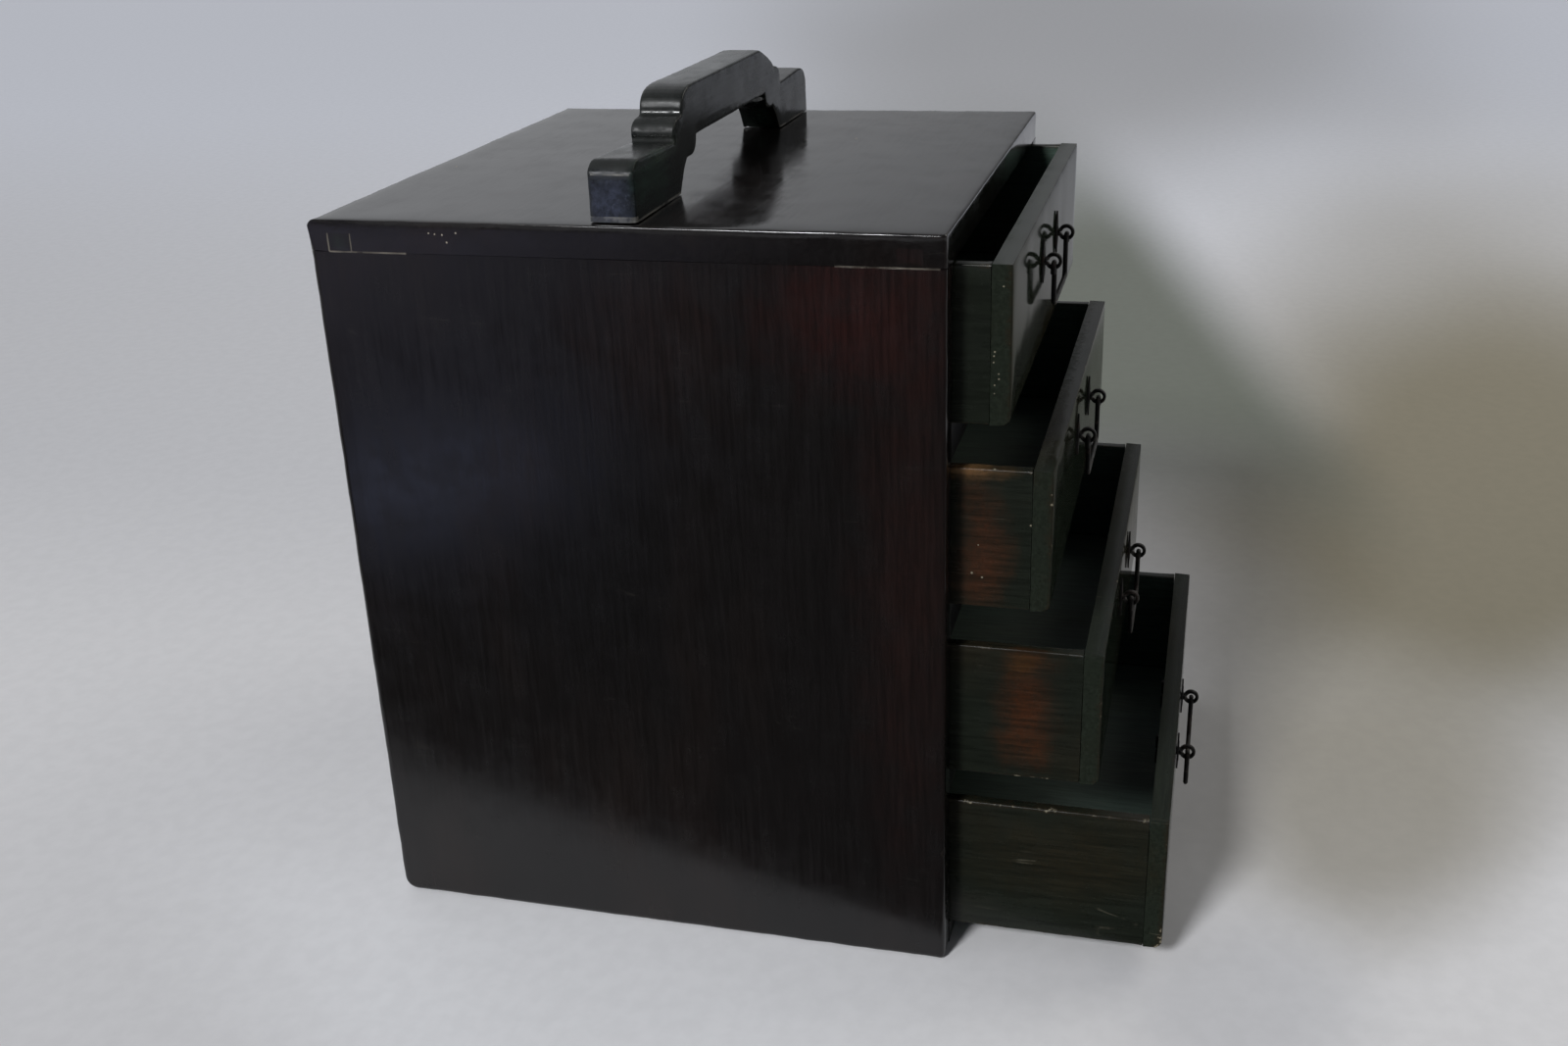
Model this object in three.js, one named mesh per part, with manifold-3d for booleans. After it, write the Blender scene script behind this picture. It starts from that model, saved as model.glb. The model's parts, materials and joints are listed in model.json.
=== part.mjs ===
// Portable scholar's box: a lacquered wooden case with four drawers and a carved carry handle.
// Lengths are in millimetres. X runs across the front, the drawers open towards -Y and Z is up.
// The origin is the middle of the case's underside. The drawers stand open in steps, lowest most.
import * as THREE from 'three';
import { mergeVertices } from 'three/addons/utils/BufferGeometryUtils.js';
import Module from 'manifold-3d';

const wasm = await Module();
wasm.setup();

// Case boards
const caseWidth = 336;
const caseDepth = 315;
const caseHeight = 390;
const sideThickness = 16;
const topThickness = 16;
const bottomThickness = 13;
const shelfThicknesses = [20, 20, 16];
const backThickness = 10;
const frontCornerRadius = 3;
const rearCornerRadius = 5;
const topEdgeEase = 1.8;
const boardEase = 0.8;
const shelfSetback = 1;

// Joints of the case: housings for the shelves, rebates for the back, fingers into the top
const housingDepth = 5;
const housingStop = 12;
const rebateWidth = 8;
const fingerWidth = 12;
const fingerHeight = 9;
const fingerDepth = 10;
const fingerSetback = 17;

// Drawers, from the top one down: how each one's height compares, and how far it stands open
const drawerHeightShares = [1.055, 1, 1, 1.055];
const drawerReaches = [27, 48, 75, 111];
const drawerSideClearance = 0.75;
const drawerTopClearance = 0.95;
const drawerRearClearance = 5;
const drawerFrontThickness = 10;
const drawerFrontRadius = 2;
const drawerFrontEase = 1.2;
const drawerSideThickness = 7.5;
const drawerSideEase = 1.5;
const drawerBackThickness = 8;
const drawerBackInset = 9;
const drawerBackDrop = 3;
const drawerBackHousing = 3;
const drawerBottomThickness = 5;
const drawerBottomLift = 4;
const drawerGrooveDepth = 3.5;
const tongueLength = 4;
const tongueThickness = 3.5;
const tongueTopStop = 9;

// Drawer pulls: two eye pins through the front, a leaf plate behind each, a wire bail in the eyes
const eyeSpacing = 65.4;
const eyeHeight = 49.5;
const eyeStandoff = 6;
const eyeRadius = 4.4;
const eyeStrip = 1.6;
const eyeWidth = 3;
const eyeEase = 0.4;
const eyeNeckHeight = 6;
const eyeSlotHeight = 2.4;
const eyeLegReach = 9;
const plateHeight = 23.6;
const plateWidth = 9;
const plateThickness = 1;
const bailWireRadius = 1.4;
const bailDrop = 23;
const bailTail = 5;
const bailHookBend = 1.7;
const bailCornerBend = 4.5;

// Carry handle: heights are above the case's top, half lengths are from the middle of the bar,
// and each run goes on from the place before it towards the handle's end
const footThickness = 24.2;
const barThickness = 21.6;
const handleEndSetback = 4;
const handleHeight = 50;
const handleEase = 1.8;
const barTopHalfLength = 66.5;
const upperLobeRun = 21;
const lowerLobeRun = 14.5;
const lobeStepHeight = 37.5;
const lobeStepRise = 1;
const lobeStepRun = 1.5;
const lowerLobeDrop = 9.3;
const lowerLobeUndercut = 1.5;
const footInnerHeight = 26.3;
const footOuterHeight = 28.2;
const footEndHeight = 20;
const footEndRound = 9.5;
const fingerGapHeight = 23.8;
const fingerGapTopHalfLength = 66;
const fingerGapCornerRun = 11;
const ledgeHeight = 14.6;
const ledgeRun = 5;
const legRun = 13.5;
const legCurveShare = 0.75;

// Dowels that hold the handle's feet on the top
const dowelRadius = 4;
const dowelRise = 14;
const dowelSink = 11;
const dowelSetbacks = { outer: 18, inner: 50 };

// Fits, and how far a cut runs past the face it opens
const jointGap = 0.3;
const overrun = 4;

// Fineness of round stretches
const cornerSteps = 3;
const curveSteps = 5;
const bendSteps = 4;
const wireQuarterSides = 4;
const dowelSides = 20;

const halfWidth = caseWidth / 2;
const halfDepth = caseDepth / 2;
const halfClear = halfWidth - sideThickness;
const backFace = halfDepth - backThickness;
const topUnderside = caseHeight - topThickness;
const panelHeight = topUnderside - jointGap;
const drawerCount = drawerReaches.length;
const shelfCount = drawerCount - 1;
const drawerFit = jointGap + drawerTopClearance;
const stackHeight = topUnderside - bottomThickness - total(shelfThicknesses) - drawerCount * drawerFit;
const drawerWidth = 2 * (halfClear - drawerSideClearance);
const drawerLength = caseDepth - backThickness - drawerRearClearance;

const xAxis = new THREE.Vector3(1, 0, 0);
const yAxis = new THREE.Vector3(0, 1, 0);
const zAxis = new THREE.Vector3(0, 0, 1);
const alongX = new THREE.Matrix4().makeBasis(yAxis, zAxis, xAxis);
const alongY = new THREE.Matrix4().makeBasis(xAxis, zAxis, yAxis.clone().negate());
const alongZ = new THREE.Matrix4();

const lacquer = { color: 0x241b16, roughness: 0.28, metalness: 0 };
const handleLacquer = { color: 0x1f1a17, roughness: 0.3, metalness: 0 };
const drawerWood = { color: 0x4a3323, roughness: 0.55, metalness: 0 };
const hiddenWood = { color: 0x6b5138, roughness: 0.7, metalness: 0 };
const iron = { color: 0x2a2825, roughness: 0.5, metalness: 0.85 };

// An outline through corners [x, y, radius], each corner rounded to its radius
function outlineOf(corners) {
  const shape = new THREE.Shape();
  corners.forEach(([x, y, radius = 0], index) => {
    const corner = new THREE.Vector2(x, y);
    const before = corners.at(index - 1);
    const after = corners[(index + 1) % corners.length];
    const back = new THREE.Vector2(before[0], before[1]).sub(corner).setLength(radius).add(corner);
    const ahead = new THREE.Vector2(after[0], after[1]).sub(corner).setLength(radius).add(corner);
    if (index === 0) shape.moveTo(back.x, back.y);
    else shape.lineTo(back.x, back.y);
    if (radius > 0) shape.quadraticCurveTo(x, y, ahead.x, ahead.y);
  });
  return shape;
}

// A prism of an outline, centred on its own length, with its end edges eased
function prism(outline, length, direction, ease = 0, curveSegments = cornerSteps) {
  const geometry = new THREE.ExtrudeGeometry(outline, {
    depth: length - 2 * ease,
    bevelEnabled: ease > 0,
    bevelThickness: ease,
    bevelSize: ease,
    bevelOffset: -ease,
    bevelSegments: 2,
    curveSegments,
  });
  return geometry.translate(0, 0, ease - length / 2).applyMatrix4(direction);
}

// A block between a low and a high value on each axis
function block([x0, x1], [y0, y1], [z0, z1]) {
  const geometry = new THREE.BoxGeometry(Math.abs(x1 - x0), Math.abs(y1 - y0), Math.abs(z1 - z0));
  return geometry.translate((x0 + x1) / 2, (y0 + y1) / 2, (z0 + z1) / 2);
}

// A geometry as a closed solid with its shared corners merged
function solidOf(geometry) {
  const bare = geometry.clone();
  bare.deleteAttribute('normal');
  bare.deleteAttribute('uv');
  const merged = mergeVertices(bare);
  return new wasm.Manifold(new wasm.Mesh({
    numProp: 3,
    vertProperties: new Float32Array(merged.attributes.position.array),
    triVerts: new Uint32Array(merged.index.array),
  }));
}

function geometryOf(solid) {
  const mesh = solid.getMesh();
  const geometry = new THREE.BufferGeometry();
  geometry.setAttribute('position', new THREE.BufferAttribute(mesh.vertProperties, 3));
  geometry.setIndex(new THREE.BufferAttribute(mesh.triVerts, 1));
  geometry.computeVertexNormals();
  return geometry;
}

// A geometry with others added to it and others cut from it
function shaped(geometry, added, removed) {
  let solid = solidOf(geometry);
  for (const part of added) {
    solid = solid.add(solidOf(part));
  }
  for (const part of removed) {
    solid = solid.subtract(solidOf(part));
  }
  return geometryOf(solid);
}

function addPiece(group, name, geometry, finish) {
  const mesh = new THREE.Mesh(geometry, new THREE.MeshStandardMaterial(finish));
  mesh.name = name;
  group.add(mesh);
  return mesh;
}

function total(values) {
  return values.reduce((sum, value) => sum + value, 0);
}

// Height of drawer number index, counted from the top
function drawerHeight(index) {
  return stackHeight * drawerHeightShares[index] / total(drawerHeightShares);
}

// Height of the surface that drawer number index runs on
function runningSurface(index) {
  let height = bottomThickness;
  for (let below = drawerCount - 1; below > index; below -= 1) {
    height += drawerHeight(below) + drawerFit + shelfThicknesses[below - 1];
  }
  return height;
}

// Underside of the shelf that drawer number index runs on
function shelfUnderside(index) {
  return runningSurface(index) - shelfThicknesses[index];
}

// Middle of each finger along the case's depth
const fingerPlaces = [fingerSetback - halfDepth, halfDepth - fingerSetback];

function fingerBlock(side, place, clearance, low, outward) {
  return block(
    [side * (halfWidth - fingerDepth - clearance), side * (halfWidth + outward)],
    [place - fingerWidth / 2 - clearance, place + fingerWidth / 2 + clearance],
    [low, topUnderside + fingerHeight + clearance],
  );
}

function housingCut(side, low, high) {
  return block(
    [side * (halfClear - overrun), side * (halfClear + housingDepth + jointGap)],
    [housingStop - halfDepth, backFace + backThickness / 2],
    [low, high],
  );
}

// Side panel: housed for the shelves and bottom, rebated for the back, fingered into the top
function sidePanel(side) {
  const outline = outlineOf([
    [side * halfWidth, -halfDepth, frontCornerRadius],
    [side * halfWidth, halfDepth, rearCornerRadius],
    [side * (halfClear + rebateWidth), halfDepth, boardEase],
    [side * (halfClear + rebateWidth), backFace - jointGap],
    [side * halfClear, backFace - jointGap],
    [side * halfClear, -halfDepth, boardEase],
  ]);
  const board = prism(outline, panelHeight, alongZ).translate(0, 0, panelHeight / 2);
  const fingers = fingerPlaces.map((place) => fingerBlock(side, place, 0, panelHeight - overrun, 0));
  const cuts = [housingCut(side, -overrun, bottomThickness + jointGap)];
  for (let index = 0; index < shelfCount; index += 1) {
    cuts.push(housingCut(side, shelfUnderside(index) - jointGap, runningSurface(index) + jointGap));
  }
  return shaped(board, fingers, cuts);
}

// A board that lies between the side panels with its ends in their housings
function housedBoard(thickness, setback) {
  const front = setback - halfDepth;
  const shoulder = housingStop + jointGap - halfDepth;
  const rear = backFace - jointGap;
  const narrow = halfClear - jointGap;
  const wide = halfClear + housingDepth;
  const outline = outlineOf([
    [-narrow, front, boardEase],
    [narrow, front, boardEase],
    [narrow, shoulder],
    [wide, shoulder],
    [wide, rear],
    [-wide, rear],
    [-wide, shoulder],
    [-narrow, shoulder],
  ]);
  return prism(outline, thickness, alongZ).translate(0, 0, thickness / 2);
}

function dowelCut(x, low, high) {
  const radius = dowelRadius + jointGap;
  const hole = new THREE.CylinderGeometry(radius, radius, high - low, dowelSides);
  return hole.applyMatrix4(alongY).translate(x, 0, (low + high) / 2);
}

// Middle of each dowel along the handle
const dowelPlaces = {};
for (const [end, side] of [['left', -1], ['right', 1]]) {
  for (const [place, setback] of Object.entries(dowelSetbacks)) {
    dowelPlaces[`${end}_${place}`] = side * (halfWidth - handleEndSetback - setback);
  }
}

// Top: laps over the side panels, with notches for their fingers and holes for the handle's dowels
function topPanel() {
  const outline = outlineOf([
    [-halfWidth, -halfDepth, frontCornerRadius],
    [halfWidth, -halfDepth, frontCornerRadius],
    [halfWidth, halfDepth, rearCornerRadius],
    [-halfWidth, halfDepth, rearCornerRadius],
  ]);
  const rough = topThickness + 2 * topEdgeEase;
  const board = prism(outline, rough, alongZ, topEdgeEase).translate(0, 0, caseHeight - rough / 2);
  const wide = halfWidth + overrun;
  const deep = halfDepth + overrun;
  const cuts = [block([-wide, wide], [-deep, deep], [topUnderside - rough, topUnderside])];
  for (const side of [-1, 1]) {
    for (const place of fingerPlaces) {
      cuts.push(fingerBlock(side, place, jointGap, topUnderside - overrun, overrun));
    }
  }
  for (const x of Object.values(dowelPlaces)) {
    cuts.push(dowelCut(x, caseHeight - dowelSink - jointGap, caseHeight + overrun));
  }
  return shaped(board, [], cuts);
}

function backPanel() {
  const reach = halfClear + rebateWidth - jointGap;
  return block([-reach, reach], [backFace, halfDepth], [0, panelHeight]);
}

// Right half of the handle's carved upper edge: bar, two lobes, foot and end
function handleUpperEdge() {
  const end = halfWidth - handleEndSetback;
  const upperLobe = barTopHalfLength + upperLobeRun;
  const lowerLobe = upperLobe + lowerLobeRun;
  const stepTop = lobeStepHeight + lobeStepRise / 2;
  const stepFoot = lobeStepHeight - lobeStepRise / 2;
  const path = new THREE.Path();
  path.moveTo(0, handleHeight);
  path.lineTo(barTopHalfLength, handleHeight);
  path.quadraticCurveTo(upperLobe, handleHeight, upperLobe, stepTop);
  path.lineTo(upperLobe + lobeStepRun, stepFoot);
  path.quadraticCurveTo(lowerLobe, stepFoot, lowerLobe, stepFoot - lowerLobeDrop);
  path.lineTo(lowerLobe - lowerLobeUndercut, footInnerHeight);
  path.lineTo(end - footEndRound, footOuterHeight);
  path.quadraticCurveTo(end, footOuterHeight, end, footEndHeight);
  path.lineTo(end, 0);
  return path.getPoints(curveSteps);
}

// Right half of the finger gap's edge: from the foot up over a small ledge to the bar's underside
function handleLowerEdge() {
  const ledgeInner = fingerGapTopHalfLength + fingerGapCornerRun;
  const ledgeOuter = ledgeInner + ledgeRun;
  const path = new THREE.Path();
  path.moveTo(ledgeOuter + legRun, 0);
  path.quadraticCurveTo(ledgeOuter + legRun / 2, ledgeHeight * legCurveShare, ledgeOuter, ledgeHeight);
  path.lineTo(ledgeInner, ledgeHeight);
  path.quadraticCurveTo(fingerGapTopHalfLength, ledgeHeight, fingerGapTopHalfLength, fingerGapHeight);
  return path.getPoints(curveSteps);
}

// Narrows a standing piece evenly, from its full thickness at the base to a share of it at a height
function tapered(geometry, height, topShare) {
  const corners = geometry.attributes.position;
  for (let index = 0; index < corners.count; index += 1) {
    const share = THREE.MathUtils.lerp(1, topShare, corners.getZ(index) / height);
    corners.setY(index, corners.getY(index) * share);
  }
  return geometry;
}

// Carry handle: one carved piece whose feet stand on the top
function carryHandle() {
  const rightHalf = [...handleUpperEdge(), ...handleLowerEdge()];
  const leftHalf = rightHalf.slice(1).reverse().map((point) => new THREE.Vector2(-point.x, point.y));
  const outline = new THREE.Shape([...rightHalf, ...leftHalf]);
  const base = caseHeight + jointGap;
  const even = prism(outline, footThickness, alongY, handleEase);
  const carved = tapered(even, handleHeight, barThickness / footThickness).translate(0, 0, base);
  const holes = Object.values(dowelPlaces).map((x) => (
    dowelCut(x, base - overrun, caseHeight + dowelRise + jointGap)
  ));
  return shaped(carved, [], holes);
}

function handleDowel(x) {
  const dowel = new THREE.CylinderGeometry(dowelRadius, dowelRadius, dowelRise + dowelSink, dowelSides);
  return dowel.applyMatrix4(alongY).translate(x, 0, caseHeight + (dowelRise - dowelSink) / 2);
}

// Places inside a drawer, whose own origin is the middle of its front face's lower edge
const halfDrawer = drawerWidth / 2;
const sideInner = halfDrawer - drawerSideThickness;
const bottomTop = drawerBottomLift + drawerBottomThickness;
const backFront = drawerLength - drawerBackInset - drawerBackThickness;
const shankHalf = eyeStrip;
const shankHoleRadius = Math.hypot(shankHalf, eyeWidth / 2) + jointGap;
const eyePlaces = { left: -eyeSpacing / 2, right: eyeSpacing / 2 };

// Middle of the tongue across the drawer side's thickness
function tongueMiddle(side) {
  return side * (halfDrawer - drawerSideThickness / 2);
}

function bottomGroove(xSpan, ySpan) {
  return block(xSpan, ySpan, [drawerBottomLift - jointGap, bottomTop + jointGap]);
}

// Drawer front: rounded at its outer upright edges, grooved behind for the sides and bottom
function drawerFront(height) {
  const outline = outlineOf([
    [-halfDrawer, 0, drawerFrontRadius],
    [halfDrawer, 0, drawerFrontRadius],
    [halfDrawer, drawerFrontThickness],
    [-halfDrawer, drawerFrontThickness],
  ]);
  const board = prism(outline, height, alongZ, drawerFrontEase).translate(0, 0, height / 2);
  const rear = drawerFrontThickness + overrun;
  const cuts = [bottomGroove(
    [-sideInner - drawerGrooveDepth, sideInner + drawerGrooveDepth],
    [drawerFrontThickness - drawerGrooveDepth, rear],
  )];
  for (const side of [-1, 1]) {
    const middle = tongueMiddle(side);
    const half = tongueThickness / 2 + jointGap;
    cuts.push(block(
      [middle - half, middle + half],
      [drawerFrontThickness - tongueLength - jointGap, rear],
      [-overrun, height - tongueTopStop + jointGap],
    ));
  }
  for (const x of Object.values(eyePlaces)) {
    const length = drawerFrontThickness + 2 * overrun;
    const hole = new THREE.CylinderGeometry(shankHoleRadius, shankHoleRadius, length, dowelSides);
    cuts.push(hole.translate(x, drawerFrontThickness / 2, eyeHeight));
  }
  return shaped(board, [], cuts);
}

// Drawer side: rounded along its top, tongued into the front, grooved for the bottom and the back
function drawerSide(side, height) {
  const outer = side * halfDrawer;
  const inner = side * sideInner;
  const outline = outlineOf([
    [outer, 0, boardEase],
    [outer, height, drawerSideEase],
    [inner, height, drawerSideEase],
    [inner, 0, boardEase],
  ]);
  const shoulder = drawerFrontThickness + jointGap;
  const start = drawerFrontThickness - tongueLength;
  const board = prism(outline, drawerLength - start, alongY).translate(0, (drawerLength + start) / 2, 0);
  const tongueEdge = tongueThickness / 2;
  const middle = tongueMiddle(side);
  const past = side * (halfDrawer + overrun);
  const inside = side * (sideInner - overrun);
  const tongueEnd = [start - overrun, shoulder];
  const fullHeight = [-overrun, height + overrun];
  const groove = side * (sideInner + drawerGrooveDepth);
  const housing = side * (sideInner + drawerBackHousing);
  return shaped(board, [], [
    block([middle + side * tongueEdge, past], tongueEnd, fullHeight),
    block([inside, middle - side * tongueEdge], tongueEnd, fullHeight),
    block([inside, past], tongueEnd, [height - tongueTopStop, height + overrun]),
    bottomGroove([inside, groove], [start - overrun, drawerLength + overrun]),
    block(
      [inside, housing],
      [backFront - jointGap, backFront + drawerBackThickness + jointGap],
      [bottomTop, height + overrun],
    ),
  ]);
}

// Drawer back: stands on the bottom, housed in the sides, a little lower than they are
function drawerBack(height) {
  const half = sideInner + drawerBackHousing - jointGap;
  const low = bottomTop + jointGap;
  const high = height - drawerBackDrop;
  const outline = outlineOf([
    [backFront, low],
    [backFront + drawerBackThickness, low],
    [backFront + drawerBackThickness, high, drawerSideEase],
    [backFront, high, drawerSideEase],
  ]);
  return prism(outline, 2 * half, alongX);
}

// Drawer bottom: slides in from behind along the grooves of the sides and front
function drawerBottom() {
  const half = sideInner + drawerGrooveDepth - jointGap;
  const front = drawerFrontThickness - drawerGrooveDepth + jointGap;
  return block([-half, half], [front, drawerLength], [drawerBottomLift, bottomTop]);
}

// Leaf-shaped plate between an eye pin and the drawer front
function leafPlate(x) {
  const half = plateHeight / 2;
  const bulge = plateWidth / 2;
  const radius = (half * half + bulge * bulge) / (2 * bulge);
  const spread = Math.asin(half / radius);
  const leaf = new THREE.Shape();
  leaf.absarc(bulge - radius, 0, radius, -spread, spread, false);
  leaf.absarc(radius - bulge, 0, radius, Math.PI - spread, Math.PI + spread, false);
  const hole = new THREE.Path();
  hole.absarc(0, 0, shankHoleRadius, 0, 2 * Math.PI, false);
  leaf.holes.push(hole);
  const middle = -jointGap - plateThickness / 2;
  return prism(leaf, plateThickness, alongY, 0, 2 * curveSteps).translate(x, middle, eyeHeight);
}

// Draws the round end of an eye from the upper side of its neck round to the lower
function drawEye(path, radius, neck, neckHalf) {
  const reach = Math.hypot(neck + eyeStandoff, neckHalf);
  const leave = Math.atan2(neckHalf, neck + eyeStandoff) + Math.acos(radius / reach);
  path.lineTo(neck, neckHalf);
  path.absarc(-eyeStandoff, 0, radius, leave, 2 * Math.PI - leave, false);
  path.lineTo(neck, -neckHalf);
}

// Eye pin: a strip bent into an eye, its doubled shank through the front, its ends spread behind
function eyePin(x) {
  const shoulder = -2 * jointGap - plateThickness;
  const legFace = drawerFrontThickness + jointGap;
  const legBack = legFace + eyeStrip;
  const outline = new THREE.Shape();
  outline.moveTo(shoulder, shankHalf);
  drawEye(outline, eyeRadius, shoulder, eyeNeckHeight / 2);
  outline.lineTo(shoulder, -shankHalf);
  outline.lineTo(legFace, -shankHalf);
  outline.lineTo(legFace, -eyeLegReach);
  outline.lineTo(legBack, -eyeLegReach);
  outline.lineTo(legBack, eyeLegReach);
  outline.lineTo(legFace, eyeLegReach);
  outline.lineTo(legFace, shankHalf);
  const slot = new THREE.Path();
  slot.moveTo(shoulder - eyeStrip, 0);
  drawEye(slot, eyeRadius - eyeStrip, shoulder - eyeStrip, eyeSlotHeight / 2);
  outline.holes.push(slot);
  return prism(outline, eyeWidth, alongX, eyeEase, curveSteps).translate(x, 0, eyeHeight);
}

// Middle line of a bent wire, with a station at each end of a straight and evenly round each bend
class WirePath extends THREE.Curve {
  constructor(stations) {
    super();
    this.stations = stations;
  }

  getPointAt(share) {
    return this.stations[Math.round(share * (this.stations.length - 1))].clone();
  }

  getTangentAt(share) {
    const index = Math.round(share * (this.stations.length - 1));
    const ahead = this.stations[Math.min(index + 1, this.stations.length - 1)];
    const behind = this.stations[Math.max(index - 1, 0)];
    return ahead.clone().sub(behind).normalize();
  }
}

// Stations round a square bend at a corner, from one straight's direction to the next
function bendStations(before, corner, after, radius) {
  const start = before.clone().sub(corner).setLength(radius);
  const finish = after.clone().sub(corner).setLength(radius);
  const centre = corner.clone().add(start).add(finish);
  const stations = [];
  for (let step = 0; step <= bendSteps; step += 1) {
    const angle = (Math.PI / 2) * (step / bendSteps);
    const station = centre.clone();
    station.addScaledVector(finish, -Math.cos(angle));
    station.addScaledVector(start, -Math.sin(angle));
    stations.push(station);
  }
  return stations;
}

// How far the bail hangs below the middle of its eyes
const bailSink = eyeRadius - eyeStrip - bailWireRadius - jointGap;

// Bail: a wire hooked through both eyes, hanging plumb from the axis between them
function bail() {
  const hook = eyeWidth / 2 + jointGap + bailWireRadius;
  const outer = eyeSpacing / 2 + hook;
  const inner = eyeSpacing / 2 - hook;
  const corners = [
    [-outer, -bailTail],
    [-outer, 0, bailHookBend],
    [-inner, 0, bailHookBend],
    [-inner, -bailDrop, bailCornerBend],
    [inner, -bailDrop, bailCornerBend],
    [inner, 0, bailHookBend],
    [outer, 0, bailHookBend],
    [outer, -bailTail],
  ];
  const points = corners.map(([x, z]) => new THREE.Vector3(x, 0, z));
  const stations = [points[0]];
  for (let index = 1; index < corners.length - 1; index += 1) {
    const radius = corners[index][2];
    stations.push(...bendStations(points[index - 1], points[index], points[index + 1], radius));
  }
  stations.push(points.at(-1));
  const section = new THREE.Shape();
  section.absarc(0, 0, bailWireRadius, 0, 2 * Math.PI, false);
  return new THREE.ExtrudeGeometry(section, {
    steps: stations.length - 1,
    curveSegments: wireQuarterSides,
    extrudePath: new WirePath(stations),
  });
}

function makeCase() {
  const group = new THREE.Group();
  addPiece(group, 'left_side_panel', sidePanel(-1), lacquer);
  addPiece(group, 'right_side_panel', sidePanel(1), lacquer);
  addPiece(group, 'top_panel', topPanel(), lacquer);
  addPiece(group, 'bottom_panel', housedBoard(bottomThickness, 0), lacquer);
  addPiece(group, 'back_panel', backPanel(), lacquer);
  for (let index = 0; index < shelfCount; index += 1) {
    const name = `shelf_under_drawer_${index + 1}`;
    const board = housedBoard(shelfThicknesses[index], shelfSetback);
    const shelf = addPiece(group, name, board, lacquer);
    shelf.position.z = shelfUnderside(index);
  }
  addPiece(group, 'carry_handle', carryHandle(), handleLacquer);
  for (const [place, x] of Object.entries(dowelPlaces)) {
    addPiece(group, `handle_dowel_${place}`, handleDowel(x), hiddenWood);
  }
  return group;
}

// One drawer with its pull, standing open by its reach
function makeDrawer(index) {
  const name = `drawer_${index + 1}`;
  const height = drawerHeight(index);
  const group = new THREE.Group();
  addPiece(group, `${name}_front`, drawerFront(height), lacquer);
  addPiece(group, `${name}_left_side`, drawerSide(-1, height), drawerWood);
  addPiece(group, `${name}_right_side`, drawerSide(1, height), drawerWood);
  addPiece(group, `${name}_back`, drawerBack(height), drawerWood);
  addPiece(group, `${name}_bottom`, drawerBottom(), drawerWood);
  for (const [hand, x] of Object.entries(eyePlaces)) {
    addPiece(group, `${name}_${hand}_plate`, leafPlate(x), iron);
    addPiece(group, `${name}_${hand}_eye`, eyePin(x), iron);
  }
  const handle = addPiece(group, `${name}_bail`, bail(), iron);
  handle.position.set(0, -eyeStandoff, eyeHeight - bailSink);
  group.position.set(0, -halfDepth - drawerReaches[index], runningSurface(index) + jointGap);
  return group;
}

const group = new THREE.Group();
group.add(makeCase());
for (let index = 0; index < drawerCount; index += 1) {
  group.add(makeDrawer(index));
}

export default group;
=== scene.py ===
# %% [markdown]
# # A lacquered scholar's box, dressed in Blender
# The real thing is a small case of boards with four drawers, iron bail pulls and a carved carry
# handle. The CAD model already fixes every size and every joint, so this lesson only gives each
# solid its true surface: eased and worn edges, slightly uneven boards, forged iron, old lacquer.
# We load the CAD as a fixed frame first, because every later piece is measured from it.

# %% Load the frame
import json
import math
from contextlib import contextmanager

import bmesh
import bpy
from mathutils import Matrix, Vector
from mathutils.kdtree import KDTree

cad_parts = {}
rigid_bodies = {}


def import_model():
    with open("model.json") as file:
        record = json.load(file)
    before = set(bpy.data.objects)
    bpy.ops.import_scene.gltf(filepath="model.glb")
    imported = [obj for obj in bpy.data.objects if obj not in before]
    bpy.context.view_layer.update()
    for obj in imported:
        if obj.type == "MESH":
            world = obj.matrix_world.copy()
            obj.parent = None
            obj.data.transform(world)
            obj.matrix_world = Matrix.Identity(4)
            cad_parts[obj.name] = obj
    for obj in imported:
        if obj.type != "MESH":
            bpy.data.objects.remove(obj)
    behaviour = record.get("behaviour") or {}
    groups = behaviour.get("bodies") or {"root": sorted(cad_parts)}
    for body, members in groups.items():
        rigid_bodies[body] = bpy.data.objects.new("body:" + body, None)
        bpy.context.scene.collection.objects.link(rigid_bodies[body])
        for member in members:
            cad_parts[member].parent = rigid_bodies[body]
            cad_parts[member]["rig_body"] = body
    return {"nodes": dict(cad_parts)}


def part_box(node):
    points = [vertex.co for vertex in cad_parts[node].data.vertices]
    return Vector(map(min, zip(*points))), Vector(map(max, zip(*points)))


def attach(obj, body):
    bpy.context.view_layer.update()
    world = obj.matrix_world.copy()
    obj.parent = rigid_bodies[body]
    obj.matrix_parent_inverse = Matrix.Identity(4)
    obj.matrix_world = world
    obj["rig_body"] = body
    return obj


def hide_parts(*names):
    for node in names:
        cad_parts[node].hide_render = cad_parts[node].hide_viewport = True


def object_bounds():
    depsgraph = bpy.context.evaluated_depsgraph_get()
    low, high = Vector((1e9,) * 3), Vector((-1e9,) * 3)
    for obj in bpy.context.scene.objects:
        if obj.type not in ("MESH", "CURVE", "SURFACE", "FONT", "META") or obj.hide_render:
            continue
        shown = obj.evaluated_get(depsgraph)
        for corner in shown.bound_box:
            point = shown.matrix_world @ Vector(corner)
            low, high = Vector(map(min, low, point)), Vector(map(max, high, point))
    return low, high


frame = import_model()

cad_low, cad_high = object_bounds()
print("CAD box", [round(v, 4) for v in (*cad_low, *cad_high)])

# %% [markdown]
# ## Camera
# The camera stands at the left of the box, a little above it, and looks along the fronts of the
# drawers. Its place and its three turns were fitted to the straight edges of the case. We could
# aim a camera at a target, but the small roll would be lost, so the three axes are built directly.

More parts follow.
